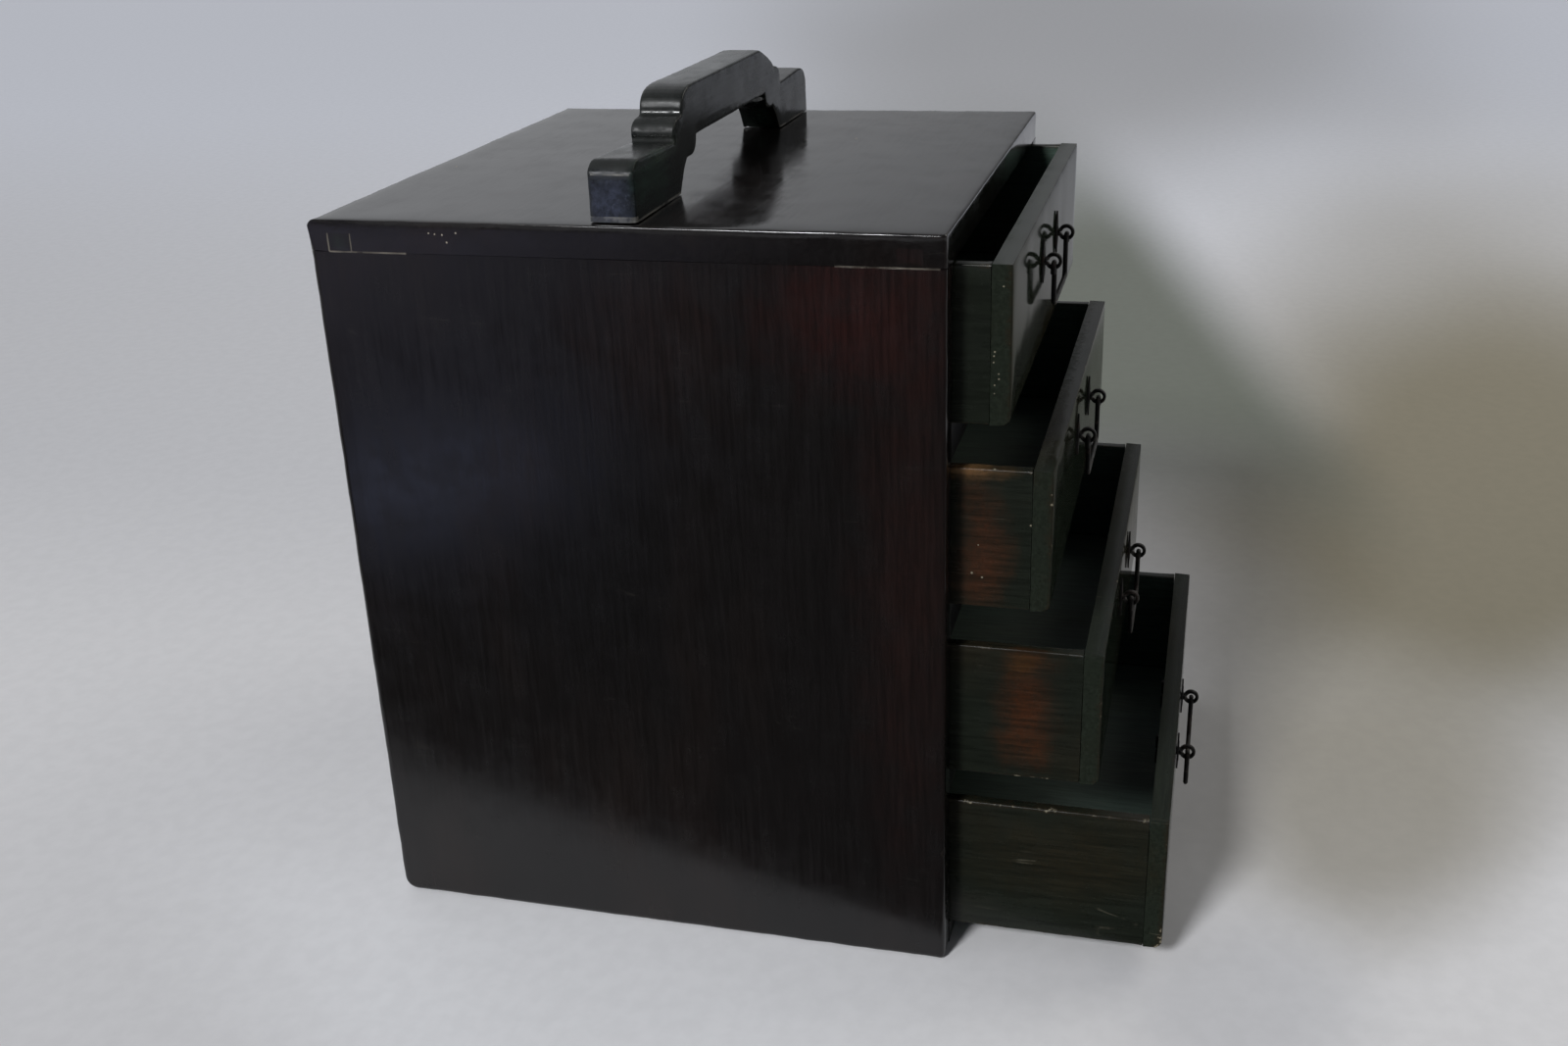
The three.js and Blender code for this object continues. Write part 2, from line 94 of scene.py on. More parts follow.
# %% Camera
def axes_of_view(yaw, pitch, roll):
    """The camera's right, up and backward directions from its three turns in degrees."""
    yaw, pitch, roll = (math.radians(angle) for angle in (yaw, pitch, roll))
    forward = Vector((math.cos(pitch) * math.cos(yaw), -math.cos(pitch) * math.sin(yaw), -math.sin(pitch)))
    right = forward.cross(Vector((0, 0, 1))).normalized()
    up = right.cross(forward)
    return (
        math.cos(roll) * right + math.sin(roll) * up,
        math.cos(roll) * up - math.sin(roll) * right,
        -forward,
    )


camera_place = (-0.870, -0.273, 0.555)
camera_turns = (-15.52, 22.93, -2.16)
bpy.ops.object.camera_add(location=camera_place)
camera = bpy.context.object
camera.data.sensor_width = 36
camera.data.lens = 37.55
turned = Matrix(axes_of_view(*camera_turns)).transposed().to_4x4()
camera.matrix_world = Matrix.Translation(camera_place) @ turned
bpy.context.scene.camera = camera
bpy.context.scene.view_settings.view_transform = "Standard"
print("camera", tuple(round(v, 3) for v in camera.location))

# %% [markdown]
# ## Small tools for materials
# Every finish here is a net of nodes. Placing nodes one by one takes many lines, so these few
# helpers add one node each and return its output, and a finish reads like a recipe.

# %% Node helpers
def node(tree, kind, inputs=(), **settings):
    """Add one shader node; an input given as a socket is linked, any other is set."""
    made = tree.nodes.new("ShaderNode" + kind)
    for key, value in settings.items():
        setattr(made, key, value)
    for key, value in dict(inputs).items():
        if isinstance(value, bpy.types.NodeSocket):
            tree.links.new(value, made.inputs[key])
        else:
            made.inputs[key].default_value = value
    return made


def cloud(tree, place, size, detail=4.0, rough=0.55):
    """Soft noise whose blobs are about a size in metres."""
    settings = {"Vector": place, "Scale": 1 / size, "Detail": detail, "Roughness": rough}
    return node(tree, "TexNoise", settings).outputs["Fac"]


def calc(tree, operation, first, *others):
    """Take in one value after another with Math nodes; some operations need only the first."""
    for other in others or (0.0,):
        first = node(tree, "Math", {0: first, 1: other}, operation=operation).outputs[0]
    return first


def plus(tree, *values):
    return calc(tree, "ADD", *values)


def times(tree, *values):
    return calc(tree, "MULTIPLY", *values)


def spread(tree, value, low, high, to_low=0.0, to_high=1.0):
    """Carry a value from one range to another, smoothly and without overshoot."""
    limits = {"Value": value, "From Min": low, "From Max": high, "To Min": to_low, "To Max": to_high}
    return node(tree, "MapRange", limits, interpolation_type="SMOOTHSTEP").outputs["Result"]


def blend(tree, share, first, second, kind="MIX"):
    """Lay a second colour over a first by a share."""
    inputs = {0: share, 6: first, 7: second}
    return node(tree, "Mix", inputs, data_type="RGBA", blend_type=kind).outputs[2]


def tone(red, green, blue):
    """A colour as seen on a screen, 0 to 255, turned into Blender's linear numbers."""
    parts = [v / 255 for v in (red, green, blue)]
    return tuple(v / 12.92 if v <= 0.04045 else ((v + 0.055) / 1.055) ** 2.4 for v in parts) + (1.0,)


def empty_material(name):
    made = bpy.data.materials.new(name)
    made.use_nodes = True
    made.node_tree.nodes.clear()
    return made, made.node_tree


def close_material(tree, shader):
    out = node(tree, "OutputMaterial")
    tree.links.new(shader, out.inputs["Surface"])


print("helpers for materials are ready")

# %% [markdown]
# ## Ground and light
# The box stands on a pale ground with soft light from behind its left side. Ground tones take the
# place of a painted backdrop, and they are painted light and shade: they drift from cool to warm,
# darken in broad patches, carry a painted shadow of the box beyond the drawers, and are lighter
# where the box shades the floor near it. They are laid out by direction and by one over the
# distance from one point of the floor, the one below the camera's place, so that far ones do not
# look squeezed flat from there. The point is a number and not the camera itself, so they stay where
# they are in every other view. Dark lacquer shows what stands around it: a dark card, seen only in
# reflections, lies in front of the near side. It glows, dark with two bluish patches, and so paints
# a reflection and a bluish sheen on the near side.

# %% Ground
def patch(tree, place, centre, radii, inner, wobble=None, ragged=1.0):
    """1 inside an egg-shaped region and 0 outside it, with a ragged rim where wobble is given.

    It starts to fade at the share inner of the way from the centre to the rim.
    """
    scaled = node(tree, "Mapping", {
        "Vector": place,
        "Location": [-c / r for c, r in zip(centre, radii)],
        "Scale": [1 / r for r in radii],
    }).outputs["Vector"]
    away = node(tree, "VectorMath", {0: scaled}, operation="LENGTH").outputs["Value"]
    if wobble is not None:
        away = plus(tree, away, times(tree, calc(tree, "SUBTRACT", wobble, 0.5), ragged))
    return spread(tree, away, 1.0, inner)


def ground_material():
    """Pale ground with painted shade and light, laid by direction and one over the distance from a point.
    """
    made, tree = empty_material("pale_ground_with_painted_shade")
    place = node(tree, "TexCoord").outputs["Object"]
    axes = node(tree, "SeparateXYZ", {0: place}).outputs
    fan_x, fan_y, nearest = -0.87, -0.273, 0.3
    distance = calc(tree, "MAXIMUM", plus(tree, axes[0], -fan_x), nearest)
    across = calc(tree, "DIVIDE", plus(tree, axes[1], -fan_y), distance)
    nearness = calc(tree, "DIVIDE", 1.0, distance)
    spot = node(tree, "CombineXYZ", {0: across, 1: nearness}).outputs[0]
    drift = cloud(tree, spot, 0.35, 2.0)
    # Painted light: lighter and cooler far off, lighter beside the near side where the box shades it.
    colour = blend(tree, spread(tree, axes[0], 2.6, 0.7), tone(222, 224, 231), tone(211, 211, 214))
    colour = blend(tree, spread(tree, axes[0], 0.5, -0.2), colour, tone(232, 231, 232))
    # Painted shade and light: four darker patches, warm to the right of the box, and a lighter one in
    # front of the near side, against the shade the box casts on the floor there.
    for centre, radii, patch_tone, share in (
        ((0.09, 0.23, 0.0), (0.27, 0.20, 1.0), tone(184, 184, 186), 0.95),
        ((-0.16, 0.72, 0.0), (0.26, 0.50, 1.0), tone(137, 131, 115), 1.0),
        ((-0.12, 1.12, 0.0), (0.14, 0.30, 1.0), tone(164, 159, 148), 0.85),
        ((-0.05, 1.42, 0.0), (0.13, 0.22, 1.0), tone(212, 212, 215), 0.9),
        ((0.46, 1.62, 0.0), (0.50, 0.50, 1.0), tone(250, 250, 252), 0.9),
    ):
        mask = patch(tree, spot, centre, radii, 0.25, drift, 0.5)
        colour = blend(tree, times(tree, mask, share), colour, patch_tone)
    # A painted shadow of the box: a grey-green wedge with a slanted edge lies beyond the drawers.
    slant = plus(tree, across, times(tree, nearness, 0.465))
    painted_shadow_wedge = times(
        tree, spread(tree, slant, 0.195, 0.265), spread(tree, across, 0.40, 0.25),
        spread(tree, nearness, 0.24, 0.44), spread(tree, nearness, 0.80, 0.60, 0.0, 0.95),
    )
    colour = blend(tree, painted_shadow_wedge, colour, tone(111, 115, 106))
    weave = spread(tree, cloud(tree, place, 0.012), 0.3, 0.7, 0.98, 1.02)
    colour = blend(tree, 1.0, colour, weave, "MULTIPLY")
    shader = node(tree, "BsdfPrincipled", {
        "Base Color": colour,
        "Roughness": 0.85,
        "Specular IOR Level": 0.1,
    })
    close_material(tree, shader.outputs["BSDF"])
    return made


bpy.ops.mesh.primitive_plane_add(size=60, location=(2, 0, 0))
ground = bpy.context.object
ground.name = "ground"
bpy.ops.object.transform_apply(location=True, rotation=True, scale=True)
ground.data.materials.append(ground_material())
print("ground", tuple(round(v, 1) for v in ground.dimensions))

# %% Dark card for the reflections of the near side
def reflected_card(name, corners, reflected_dark_tone, glows):
    """A card through four corners that only reflections see; glows are (centre, radii, colour)."""
    made, tree = empty_material(name)
    place = node(tree, "TexCoord").outputs["Object"]
    colour = reflected_dark_tone
    for centre, radii, glow in glows:
        colour = blend(tree, patch(tree, place, centre, radii, 0.0), colour, glow)
    close_material(tree, node(tree, "Emission", {"Color": colour, "Strength": 1.0}).outputs[0])
    bpy.ops.mesh.primitive_plane_add(size=1)
    card = bpy.context.object
    card.name = name
    for vertex, corner in zip((card.data.vertices[i] for i in (0, 1, 3, 2)), corners):
        vertex.co = corner
    card.data.materials.append(made)
    card.visible_camera = card.visible_diffuse = card.visible_shadow = card.visible_transmission = False
    return card


# A painted reflection: the card glows dark, and its two bluish glows give the near side a sheen.
near_card = reflected_card(
    "near_card", [(-4.0, -2.5, 0.001), (0.461, -2.5, 0.001), (-0.788, 2.0, 0.001), (-4.0, 2.0, 0.001)],
    (0.045, 0.042, 0.040, 1.0),
    [
        ((-1.8, 1.1, 0.0), (1.4, 0.85, 1.0), (0.45, 0.45, 0.62, 1.0)),
        ((-0.79, 0.46, 0.0), (0.28, 0.26, 1.0), (0.55, 0.62, 0.95, 1.0)),
    ],
)
print("card", near_card.name)

# %% Lights
def soft_lamp(name, place, target, power, size, colour):
    """A square lamp at a place, turned towards a target."""
    bpy.ops.object.light_add(type="AREA", location=place)
    lamp = bpy.context.object
    lamp.name = name
    lamp.rotation_euler = (Vector(target) - Vector(place)).to_track_quat("-Z", "Y").to_euler()
    lamp.data.energy, lamp.data.size, lamp.data.color = power, size, colour
    return lamp


bpy.ops.object.light_add(type="SUN", location=(-1.5, 0.6, 1.3))
window = bpy.context.object
window.name = "window_light"
window.rotation_euler = Vector((0.74, -0.29, -0.56)).to_track_quat("-Z", "Y").to_euler()
window.data.energy, window.data.angle, window.data.color = 2.25, math.radians(12), (0.97, 0.98, 1.0)
soft_lamp("warm_lamp", (1.2, -1.4, 1.6), (0, 0, 0.2), 11, 1.4, (1.0, 0.97, 0.90))

# %% Light from all round
world = bpy.data.worlds.new("room")
bpy.context.scene.world = world
world.use_nodes = True
sky = world.node_tree
sky.nodes.clear()
heading = node(sky, "SeparateXYZ", {0: node(sky, "TexCoord").outputs["Generated"]}).outputs
colour = blend(sky, spread(sky, heading["X"], -0.9, 0.6), (0.20, 0.21, 0.23, 1.0), (0.50, 0.51, 0.53, 1.0))
side_shade = spread(sky, heading["Y"], -0.25, 0.6, 0.30, 1.02)
colour = blend(sky, 1.0, colour, side_shade, "MULTIPLY")
back = node(sky, "Background", {"Color": colour, "Strength": 1.0})
sky.links.new(back.outputs[0], node(sky, "OutputWorld").inputs["Surface"])
print("world", world.name)

# %% [markdown]
# ## Small tools for boards
# A board starts as a cube at the size and place of its CAD solid. Its edges are rounded with the
# bevel tool, it is sliced with bisect so that it has points to move, and a Displace modifier then
# lowers the surface a few tenths of a millimetre in soft clouds, as planes and years do. The
# displacement only goes inwards, so the board never outgrows its solid.

# %% Board helpers
def only(piece):
    """Select one object alone and make it the active one."""
    bpy.ops.object.select_all(action="DESELECT")
    piece.select_set(True)
    bpy.context.view_layer.objects.active = piece
    return piece


def settle(piece):
    """Put the object at the origin, unturned and unscaled, with its place in its mesh."""
    only(piece)
    bpy.ops.object.transform_apply(location=True, rotation=True, scale=True)
    return piece


@contextmanager
def editing(piece):
    """Hold a piece in edit mode, with all of it selected, for the indented steps."""
    only(piece)
    bpy.ops.object.mode_set(mode="EDIT")
    bpy.ops.mesh.select_all(action="SELECT")
    yield
    bpy.ops.object.mode_set(mode="OBJECT")


def modify(piece, kind, **settings):
    """Add a modifier, set it and apply it at once."""
    only(piece)
    step = piece.modifiers.new(kind, kind)
    for key, value in settings.items():
        setattr(step, key, value)
    bpy.ops.object.modifier_apply(modifier=step.name)


def block(name, low, high):
    """A cube between two corners, the start of every board."""
    low, high = Vector(low), Vector(high)
    bpy.ops.object.select_all(action="DESELECT")
    bpy.ops.mesh.primitive_cube_add(size=1, location=(low + high) / 2)
    piece = bpy.context.object
    piece.name = name
    piece.scale = high - low
    return settle(piece)


def pick(piece, kind, wanted):
    """In edit mode, select the edges or faces that pass a test of their middle and direction."""
    bpy.ops.mesh.select_mode(type=kind)
    bpy.ops.mesh.select_all(action="DESELECT")
    shape = bmesh.from_edit_mesh(piece.data)
    found = 0
    for item in shape.edges if kind == "EDGE" else shape.faces:
        middle = sum((v.co for v in item.verts), Vector()) / len(item.verts)
        way = item.verts[1].co - item.verts[0].co if kind == "EDGE" else item.normal
        if wanted(middle, way.normalized()):
            item.select_set(True)
            found += 1
    shape.select_flush_mode()
    bmesh.update_edit_mesh(piece.data)
    return found


def round_edges(piece, wanted, radius, segments=3):
    """Bevel the chosen edges, as a plane and a cloth round them."""
    with editing(piece):
        if pick(piece, "EDGE", wanted):
            bpy.ops.mesh.bevel(offset=radius, offset_type="OFFSET", segments=segments, profile=0.5)


def slice_up(piece, axis, places):
    """Cut the whole mesh across an axis at each place, leaving it in one piece."""
    square = [0.0, 0.0, 0.0]
    square[axis] = 1.0
    with editing(piece):
        for value in places:
            bpy.ops.mesh.select_all(action="SELECT")
            bpy.ops.mesh.bisect(plane_co=[value * s for s in square], plane_no=square)


def even_places(low, high, step):
    """Slices near both ends and evenly between them."""
    margin = 0.004
    count = max(1, round((high - low - 2 * margin) / step))
    return [low + margin + (high - low - 2 * margin) * i / count for i in range(count + 1)]


def mesh_over(piece, step):
    """Slice a board all over, about a step apart, but not across its thickness if it is thin."""
    thin = 0.012
    low = [min(v.co[a] for v in piece.data.vertices) for a in range(3)]
    high = [max(v.co[a] for v in piece.data.vertices) for a in range(3)]
    for axis in range(3):
        if high[axis] - low[axis] > thin:
            slice_up(piece, axis, even_places(low[axis], high[axis], step))


def push_out(piece, wanted, way):
    """Extrude the chosen faces a way, as for a finger, a tongue or a shouldered end."""
    with editing(piece):
        if pick(piece, "FACE", wanted):
            bpy.ops.mesh.extrude_region_move(TRANSFORM_OT_translate={"value": way})


def cut_with(piece, cutters, operation="DIFFERENCE"):
    """Cut other shapes out of a piece, then throw the cutters away."""
    for cutter in cutters:
        modify(piece, "BOOLEAN", operation=operation, object=cutter, solver="EXACT")
        bpy.data.objects.remove(cutter)
    return piece


print("helpers for boards are ready")

# %% [markdown]
# ### Where a piece wears
# Lacquer goes first at the edges. Each point gets a number called wear: 1 on a rounded edge,
# fading to 0 a few millimetres into the faces. A material can read it on any piece, in any view,
# and it costs nothing to keep. A Bevel node could find edges too, but only inside Cycles.

# %% Wear and unevenness
def mark_wear(piece, turn):
    """Write the wear attribute from the distance to the nearest rounded edge; sawn joints keep 0."""
    reach = 0.004
    shape = bmesh.new()
    shape.from_mesh(piece.data)
    low, high = math.radians(turn), math.radians(60)
    edges = [e for e in shape.edges if len(e.link_faces) == 2 and low < e.calc_face_angle(0) < high]
    worn = {v.index for e in edges for v in e.verts}
    tree = KDTree(max(1, len(worn)))
    shape.verts.ensure_lookup_table()
    for index in worn:
        tree.insert(shape.verts[index].co, index)
    tree.balance()
    values = [max(0.0, 1 - tree.find(v.co)[2] / reach) if worn else 0.0 for v in shape.verts]
    shape.free()
    attribute = piece.data.attributes.new("wear", "FLOAT", "POINT")
    attribute.data.foreach_set("value", values)
    group = piece.vertex_groups.new(name="edges")
    for index, value in enumerate(values):
        if value > 0:
            group.add([index], value, "REPLACE")


def unevenness(name, size, depth=1):
    made = bpy.data.textures.new(name, "CLOUDS")
    made.noise_scale, made.noise_depth = size, depth
    return made


slow_waves = unevenness("slow_waves", 0.045)
small_dents = unevenness("small_dents", 0.011, 2)


def weather(piece, waves=0.0003, dents=0.0007, turn=12):
    """Lower the faces in slow waves and the edges in small dents, both inwards only."""
    mark_wear(piece, turn)
    for texture, depth, group in ((slow_waves, waves, ""), (small_dents, dents, "edges")):
        modify(
            piece, "DISPLACE", texture=texture, texture_coords="LOCAL", mid_level=0.0,
            strength=-depth, vertex_group=group,
        )
    piece.vertex_groups.clear()
    bpy.ops.object.shade_smooth_by_angle(angle=math.radians(50))
    modify(piece, "WEIGHTED_NORMAL", keep_sharp=True)
    return piece


def copy_of(piece, name, way=(0, 0, 0)):
    """A copy with its own mesh, moved a way."""
    only(piece)
    bpy.ops.object.duplicate()
    made = bpy.context.object
    made.name = made.data.name = name
    made.location = way
    return settle(made)


def mirrored(piece, name):
    """A copy on the other side of the middle, turned right side out again."""
    made = copy_of(piece, name)
    made.scale = (-1, 1, 1)
    settle(made)
    with editing(made):
        bpy.ops.mesh.normals_make_consistent(inside=False)
    return made


def fit(piece, cad_name, finish, front_finish=None):
    """Give a piece its finish, or two where its front faces differ, and let it stand for its CAD solid."""
    solid = frame["nodes"][cad_name]
    piece.name = piece.data.name = cad_name + "_finished"
    piece.data.materials.clear()
    piece.data.materials.append(finish)
    if front_finish is not None:
        piece.data.materials.append(front_finish)
    for face in piece.data.polygons:
        face.material_index = int(front_finish is not None and face.normal.y < -0.9)
    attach(piece, solid["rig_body"])
    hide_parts(cad_name)
    return piece


print("helpers for wear are ready")

# %% [markdown]
# ## Finishes: old lacquer on wood
# The case is black lacquer over a reddish ground on a close-grained wood. Seen near, it is never
# one colour: the grain shows as fine raised lines, the coat is thin and brown in places, edges are
# rubbed through to pale wood, and the flat faces carry flecks and hair scratches. The recipe
# mixes these one after another, so each board can have its own amounts and its own stains.

# %% Patterns for the lacquer
def stretched(tree, place, along, share=0.06):
    """Coordinates in which noise is drawn out along the grain."""
    scale = [1.0, 1.0, 1.0]
    scale[along] = share
    return node(tree, "Mapping", {"Vector": place, "Scale": scale}).outputs["Vector"]


def hairlines(tree, place, turn, size, width):
    """Fine bright lines: the places where a drawn-out noise passes its middle value."""
    lines = node(tree, "Mapping", {"Vector": place, "Rotation": turn, "Scale": (1.0, 0.05, 1.0)})
    value = calc(tree, "SUBTRACT", cloud(tree, lines.outputs[0], size, 1.0), 0.5)
    return spread(tree, calc(tree, "ABSOLUTE", value), width, 0.0)


def fleck_mask(tree, place, size, share):
    """Small chips: one spot in a few of the cells of a Voronoi pattern, each of its own size."""
    largest = 0.16
    cells = node(tree, "TexVoronoi", {"Vector": place, "Scale": 1 / size, "Randomness": 1.0})
    chance = node(tree, "SeparateColor", {0: cells.outputs["Color"]})
    chosen = calc(tree, "LESS_THAN", chance.outputs[0], share)
    reach = times(tree, chance.outputs[1], largest)
    return times(tree, chosen, calc(tree, "LESS_THAN", cells.outputs["Distance"], reach))


def band(tree, place, axis, middle, half):
    """1 within a thin band round a place on an axis."""
    value = node(tree, "SeparateXYZ", {0: place}).outputs[axis]
    away = calc(tree, "ABSOLUTE", calc(tree, "SUBTRACT", value, middle))
    return calc(tree, "LESS_THAN", away, half)


print("patterns for the lacquer are ready")

# %% Lacquer recipe
lining_tone = tone(66, 80, 72)


def lacquer(
    name, along, coat, thin, bare, stains_and_painted_light=(), lines=(), spots=(), dull=(),
    gloss=0.2, rub=0.3, flecks=0.02, hairs=0.1, grain=0.7, mirror=0.5,
):
    """Old lacquer on wood with its grain along an axis.

    stains_and_painted_light are (centre, radii, colour, share): stained patches, and on the handle
    also a painted highlight and a painted reflection; lines are pale lines (centre, half size,
    share): worn lines, and on the handle also painted highlights; spots are single chips (x, y, z,
    radius); dull are rougher regions (centre, radii, how much).
    Where a mesh carries the attribute shine, the lacquer is smoother, and where it carries the
    attribute lining, it has the tone of the drawers' insides.
    """
    made, tree = empty_material(name)
    place = node(tree, "TexCoord").outputs["Object"]
    wear = node(tree, "Attribute", attribute_name="wear").outputs["Fac"]
    lining = node(tree, "Attribute", attribute_name="lining").outputs["Fac"]
    shine = node(tree, "Attribute", attribute_name="shine").outputs["Fac"]
    drawn = stretched(tree, place, along)
    pores = cloud(tree, drawn, 0.0022, 5.0, 0.6)
    fibre = cloud(tree, drawn, 0.0009, 3.0, 0.6)
    wide = cloud(tree, stretched(tree, place, along, 0.5), 0.07, 3.0)
    middle = cloud(tree, place, 0.018, 5.0)
    fine = cloud(tree, place, 0.0026, 4.0)

    # The coat, thin in places, then its stained patches and painted light, the lining and the shade of the
    # grain.
    colour = blend(tree, spread(tree, wide, 0.45, 0.75, 0.0, 0.8), coat, thin)
    mottled = spread(tree, plus(tree, fine, pores), 0.7, 1.2, 0.5, 1.0)
    for centre, radii, patch_tone, share in stains_and_painted_light:
        mask = patch(tree, place, centre, radii, 0.0, middle)
        colour = blend(tree, times(tree, mask, mottled, share), colour, patch_tone)
    colour = blend(tree, lining, colour, lining_tone)
    shade = spread(tree, plus(tree, pores, times(tree, fibre, 0.5)), 0.5, 1.0, 0.6, 1.5)
    colour = blend(tree, grain, colour, blend(tree, 1.0, colour, shade, "MULTIPLY"))

    # Open wood: rubbed edges, chips, worn lines and hair scratches, in the pale tone; on the handle some
    # of the pale lines are painted highlights.
    ragged = plus(tree, times(tree, fine, 0.9), times(tree, middle, 1.1))
    rubbed = plus(tree, wear, calc(tree, "SUBTRACT", ragged, 1.6 - 0.4 * rub))
    colour = blend(tree, spread(tree, rubbed, 0.25, 0.80), colour, thin)
    open_wood_and_painted_lines = spread(tree, rubbed, 0.66, 0.80)
    for size in (0.011, 0.005) if flecks else ():
        open_wood_and_painted_lines = calc(tree, "MAXIMUM", open_wood_and_painted_lines, fleck_mask(tree, place, size, flecks))
    for *centre, radius in spots:
        chip = patch(tree, place, centre, [radius] * 3, 0.6, fine)
        open_wood_and_painted_lines = calc(tree, "MAXIMUM", open_wood_and_painted_lines, chip)
    # Pale lines: worn ones, and on the handle painted highlights and a painted pale line.
    for centre, half, share in lines:
        bands = [band(tree, place, axis, centre[axis], half[axis]) for axis in range(3)]
        broken = spread(tree, middle, 0.35, 0.62, 0.1 * share, share)
        open_wood_and_painted_lines = calc(tree, "MAXIMUM", open_wood_and_painted_lines, times(tree, *bands, broken))
    colour = blend(tree, open_wood_and_painted_lines, colour, bare)
    scratched = hairlines(tree, place, (0.5, 0.2, 0.9), 0.02, 0.004)
    scratched = times(tree, scratched, spread(tree, middle, 0.54, 0.66), hairs)
    colour = blend(tree, scratched, colour, bare)

    # Roughness: cloudy, rougher where the wood is open or dull, smoother on a polished face.
    cloudy = plus(tree, middle, times(tree, pores, 0.5))
    rough = spread(tree, cloudy, 0.5, 1.0, gloss - 0.04, gloss + 0.08)
    rough = plus(tree, rough, times(tree, open_wood_and_painted_lines, 0.35))
    for centre, radii, extra in dull:
        rough = plus(tree, rough, times(tree, patch(tree, place, centre, radii, 0.3, fine), extra))
    rough = times(tree, rough, spread(tree, shine, 0.0, 1.0, 1.0, 0.25))
    height = plus(tree, times(tree, pores, 0.5), times(tree, fibre, 0.12), times(tree, middle, 0.2))
    height = calc(tree, "SUBTRACT", height, times(tree, open_wood_and_painted_lines, 0.6))
    bump = node(tree, "Bump", {
        "Height": height,
        "Strength": spread(tree, shine, 0.0, 1.0, 0.4, 0.03),
        "Distance": 0.0002,
    }).outputs["Normal"]
    shader = node(tree, "BsdfPrincipled", {
        "Base Color": colour,
        "Roughness": rough,
        "Normal": bump,
        "IOR": 1.5,
        "Specular IOR Level": mirror,
    })
    close_material(tree, shader.outputs["BSDF"])
    return made


print("the lacquer recipe is ready")

# %% Case finishes
half_width, half_depth = 0.168, 0.1575
black, brown, pale = tone(16, 14, 14), tone(24, 18, 16), tone(150, 142, 128)
near_stains = [
    ((-half_width, y, z), (0.03, wide, high), patch_tone, share)
    for y, z, wide, high, patch_tone, share in (
        (-0.120, 0.350, 0.075, 0.055, tone(40, 17, 15), 0.85),
        (-0.140, 0.22, 0.040, 0.24, tone(30, 17, 15), 0.8),
        (-0.02, 0.34, 0.070, 0.07, tone(27, 18, 16), 0.6),
        (0.03, 0.20, 0.110, 0.12, tone(13, 13, 14), 0.6),
    )
]
corner_stain = ((-half_width, 0.1405, 0.3785), (0.01, 0.008, 0.007), tone(24, 30, 25), 0.8)
far_stains = [
    ((half_width, -0.095, 0.300), (0.03, 0.065, 0.075), tone(40, 17, 15), 0.85),
    ((half_width, 0.060, 0.120), (0.03, 0.080, 0.090), tone(30, 17, 15), 0.8),
    ((-0.060, half_depth, 0.270), (0.075, 0.03, 0.080), tone(36, 17, 15), 0.8),
    ((0.080, half_depth, 0.110), (0.070, 0.03, 0.100), tone(30, 18, 16), 0.8),
]
joint = 0.374
near_joint_lines = [
    ((-half_width, y, z), (0.004, wide, high), 0.45)
    for y, z, wide, high in (
        (0.126, joint, 0.0205, 0.0004), (0.1465, joint + 0.0045, 0.0004, 0.0045),
        (0.1345, joint + 0.0045, 0.0003, 0.0045), (-0.130, joint, 0.024, 0.0004),
    )
]
near_spots = [
    (-half_width, *place) for place in (
        (0.0924, 0.3842, 0.0006), (0.0893, 0.3838, 0.0005), (0.0855, 0.3835, 0.0005),
        (0.0835, 0.3800, 0.0007), (0.0783, 0.3846, 0.0006),
    )
]
case_upright = lacquer(
    "case_lacquer_upright", 2, black, brown, pale,
    [*near_stains, corner_stain, *far_stains], near_joint_lines,
    gloss=0.2, rub=-0.3, flecks=0.006, hairs=0.03, grain=0.5,
)
case_level = lacquer(
    "case_lacquer_level", 0, black, brown, pale, [corner_stain], near_joint_lines, near_spots,
    gloss=0.11, rub=-0.1, flecks=0.006, hairs=0.04, grain=0.5,
)
case_inside = lacquer(
    "case_lacquer_inside", 0, tone(24, 24, 22), tone(34, 30, 26), tone(80, 72, 60),
    gloss=0.45, flecks=0.0,
)
print("finishes", [m.name for m in (case_upright, case_level, case_inside)])

# %% [markdown]
# ## Case boards
# The side boards reach the floor and carry the top, which laps over them. Near each corner a
# finger of the side stands in a notch of the top, so the joint cannot rack. Shelves and bottom sit
# in shallow housings, and the back in a rebate. We could leave the boards plain and let them run
# into each other, but we cut nearly all of these joints for real with Booleans, as in the CAD. Three
# faults are left in them, hidden in the wood: two are named where they are made, and the handle and
# the top have no holes for the four dowels.

# %% Places shared by the case boards
side_thickness, top_thickness = 0.016, 0.016
slack, overrun = 0.0003, 0.01  # room left in a joint, and how far a cutter reaches past a board
inner = half_width - side_thickness
handle_rise = 0.0503
top_under = cad_high.z - handle_rise - top_thickness
finger_places = (0.017 - half_depth, half_depth - 0.017)
finger_half, finger_depth, finger_height = 0.006, 0.010, 0.009
housing = 0.005
shelf_names = ["shelf_under_drawer_1", "shelf_under_drawer_2", "shelf_under_drawer_3"]
level_boards = [
    (name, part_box(name)[0].z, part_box(name)[1].z) for name in ("bottom_panel", *shelf_names)
]
print("top board from", round(top_under, 4))
print("level boards", [(name, round(low, 4), round(high, 4)) for name, low, high in level_boards])

# %% Side boards
def along(way, axis):
    """True for an edge that runs along an axis."""
    return abs(way[axis]) > 0.99


def near(value, target, reach=0.0006):
    return abs(value - target) < reach


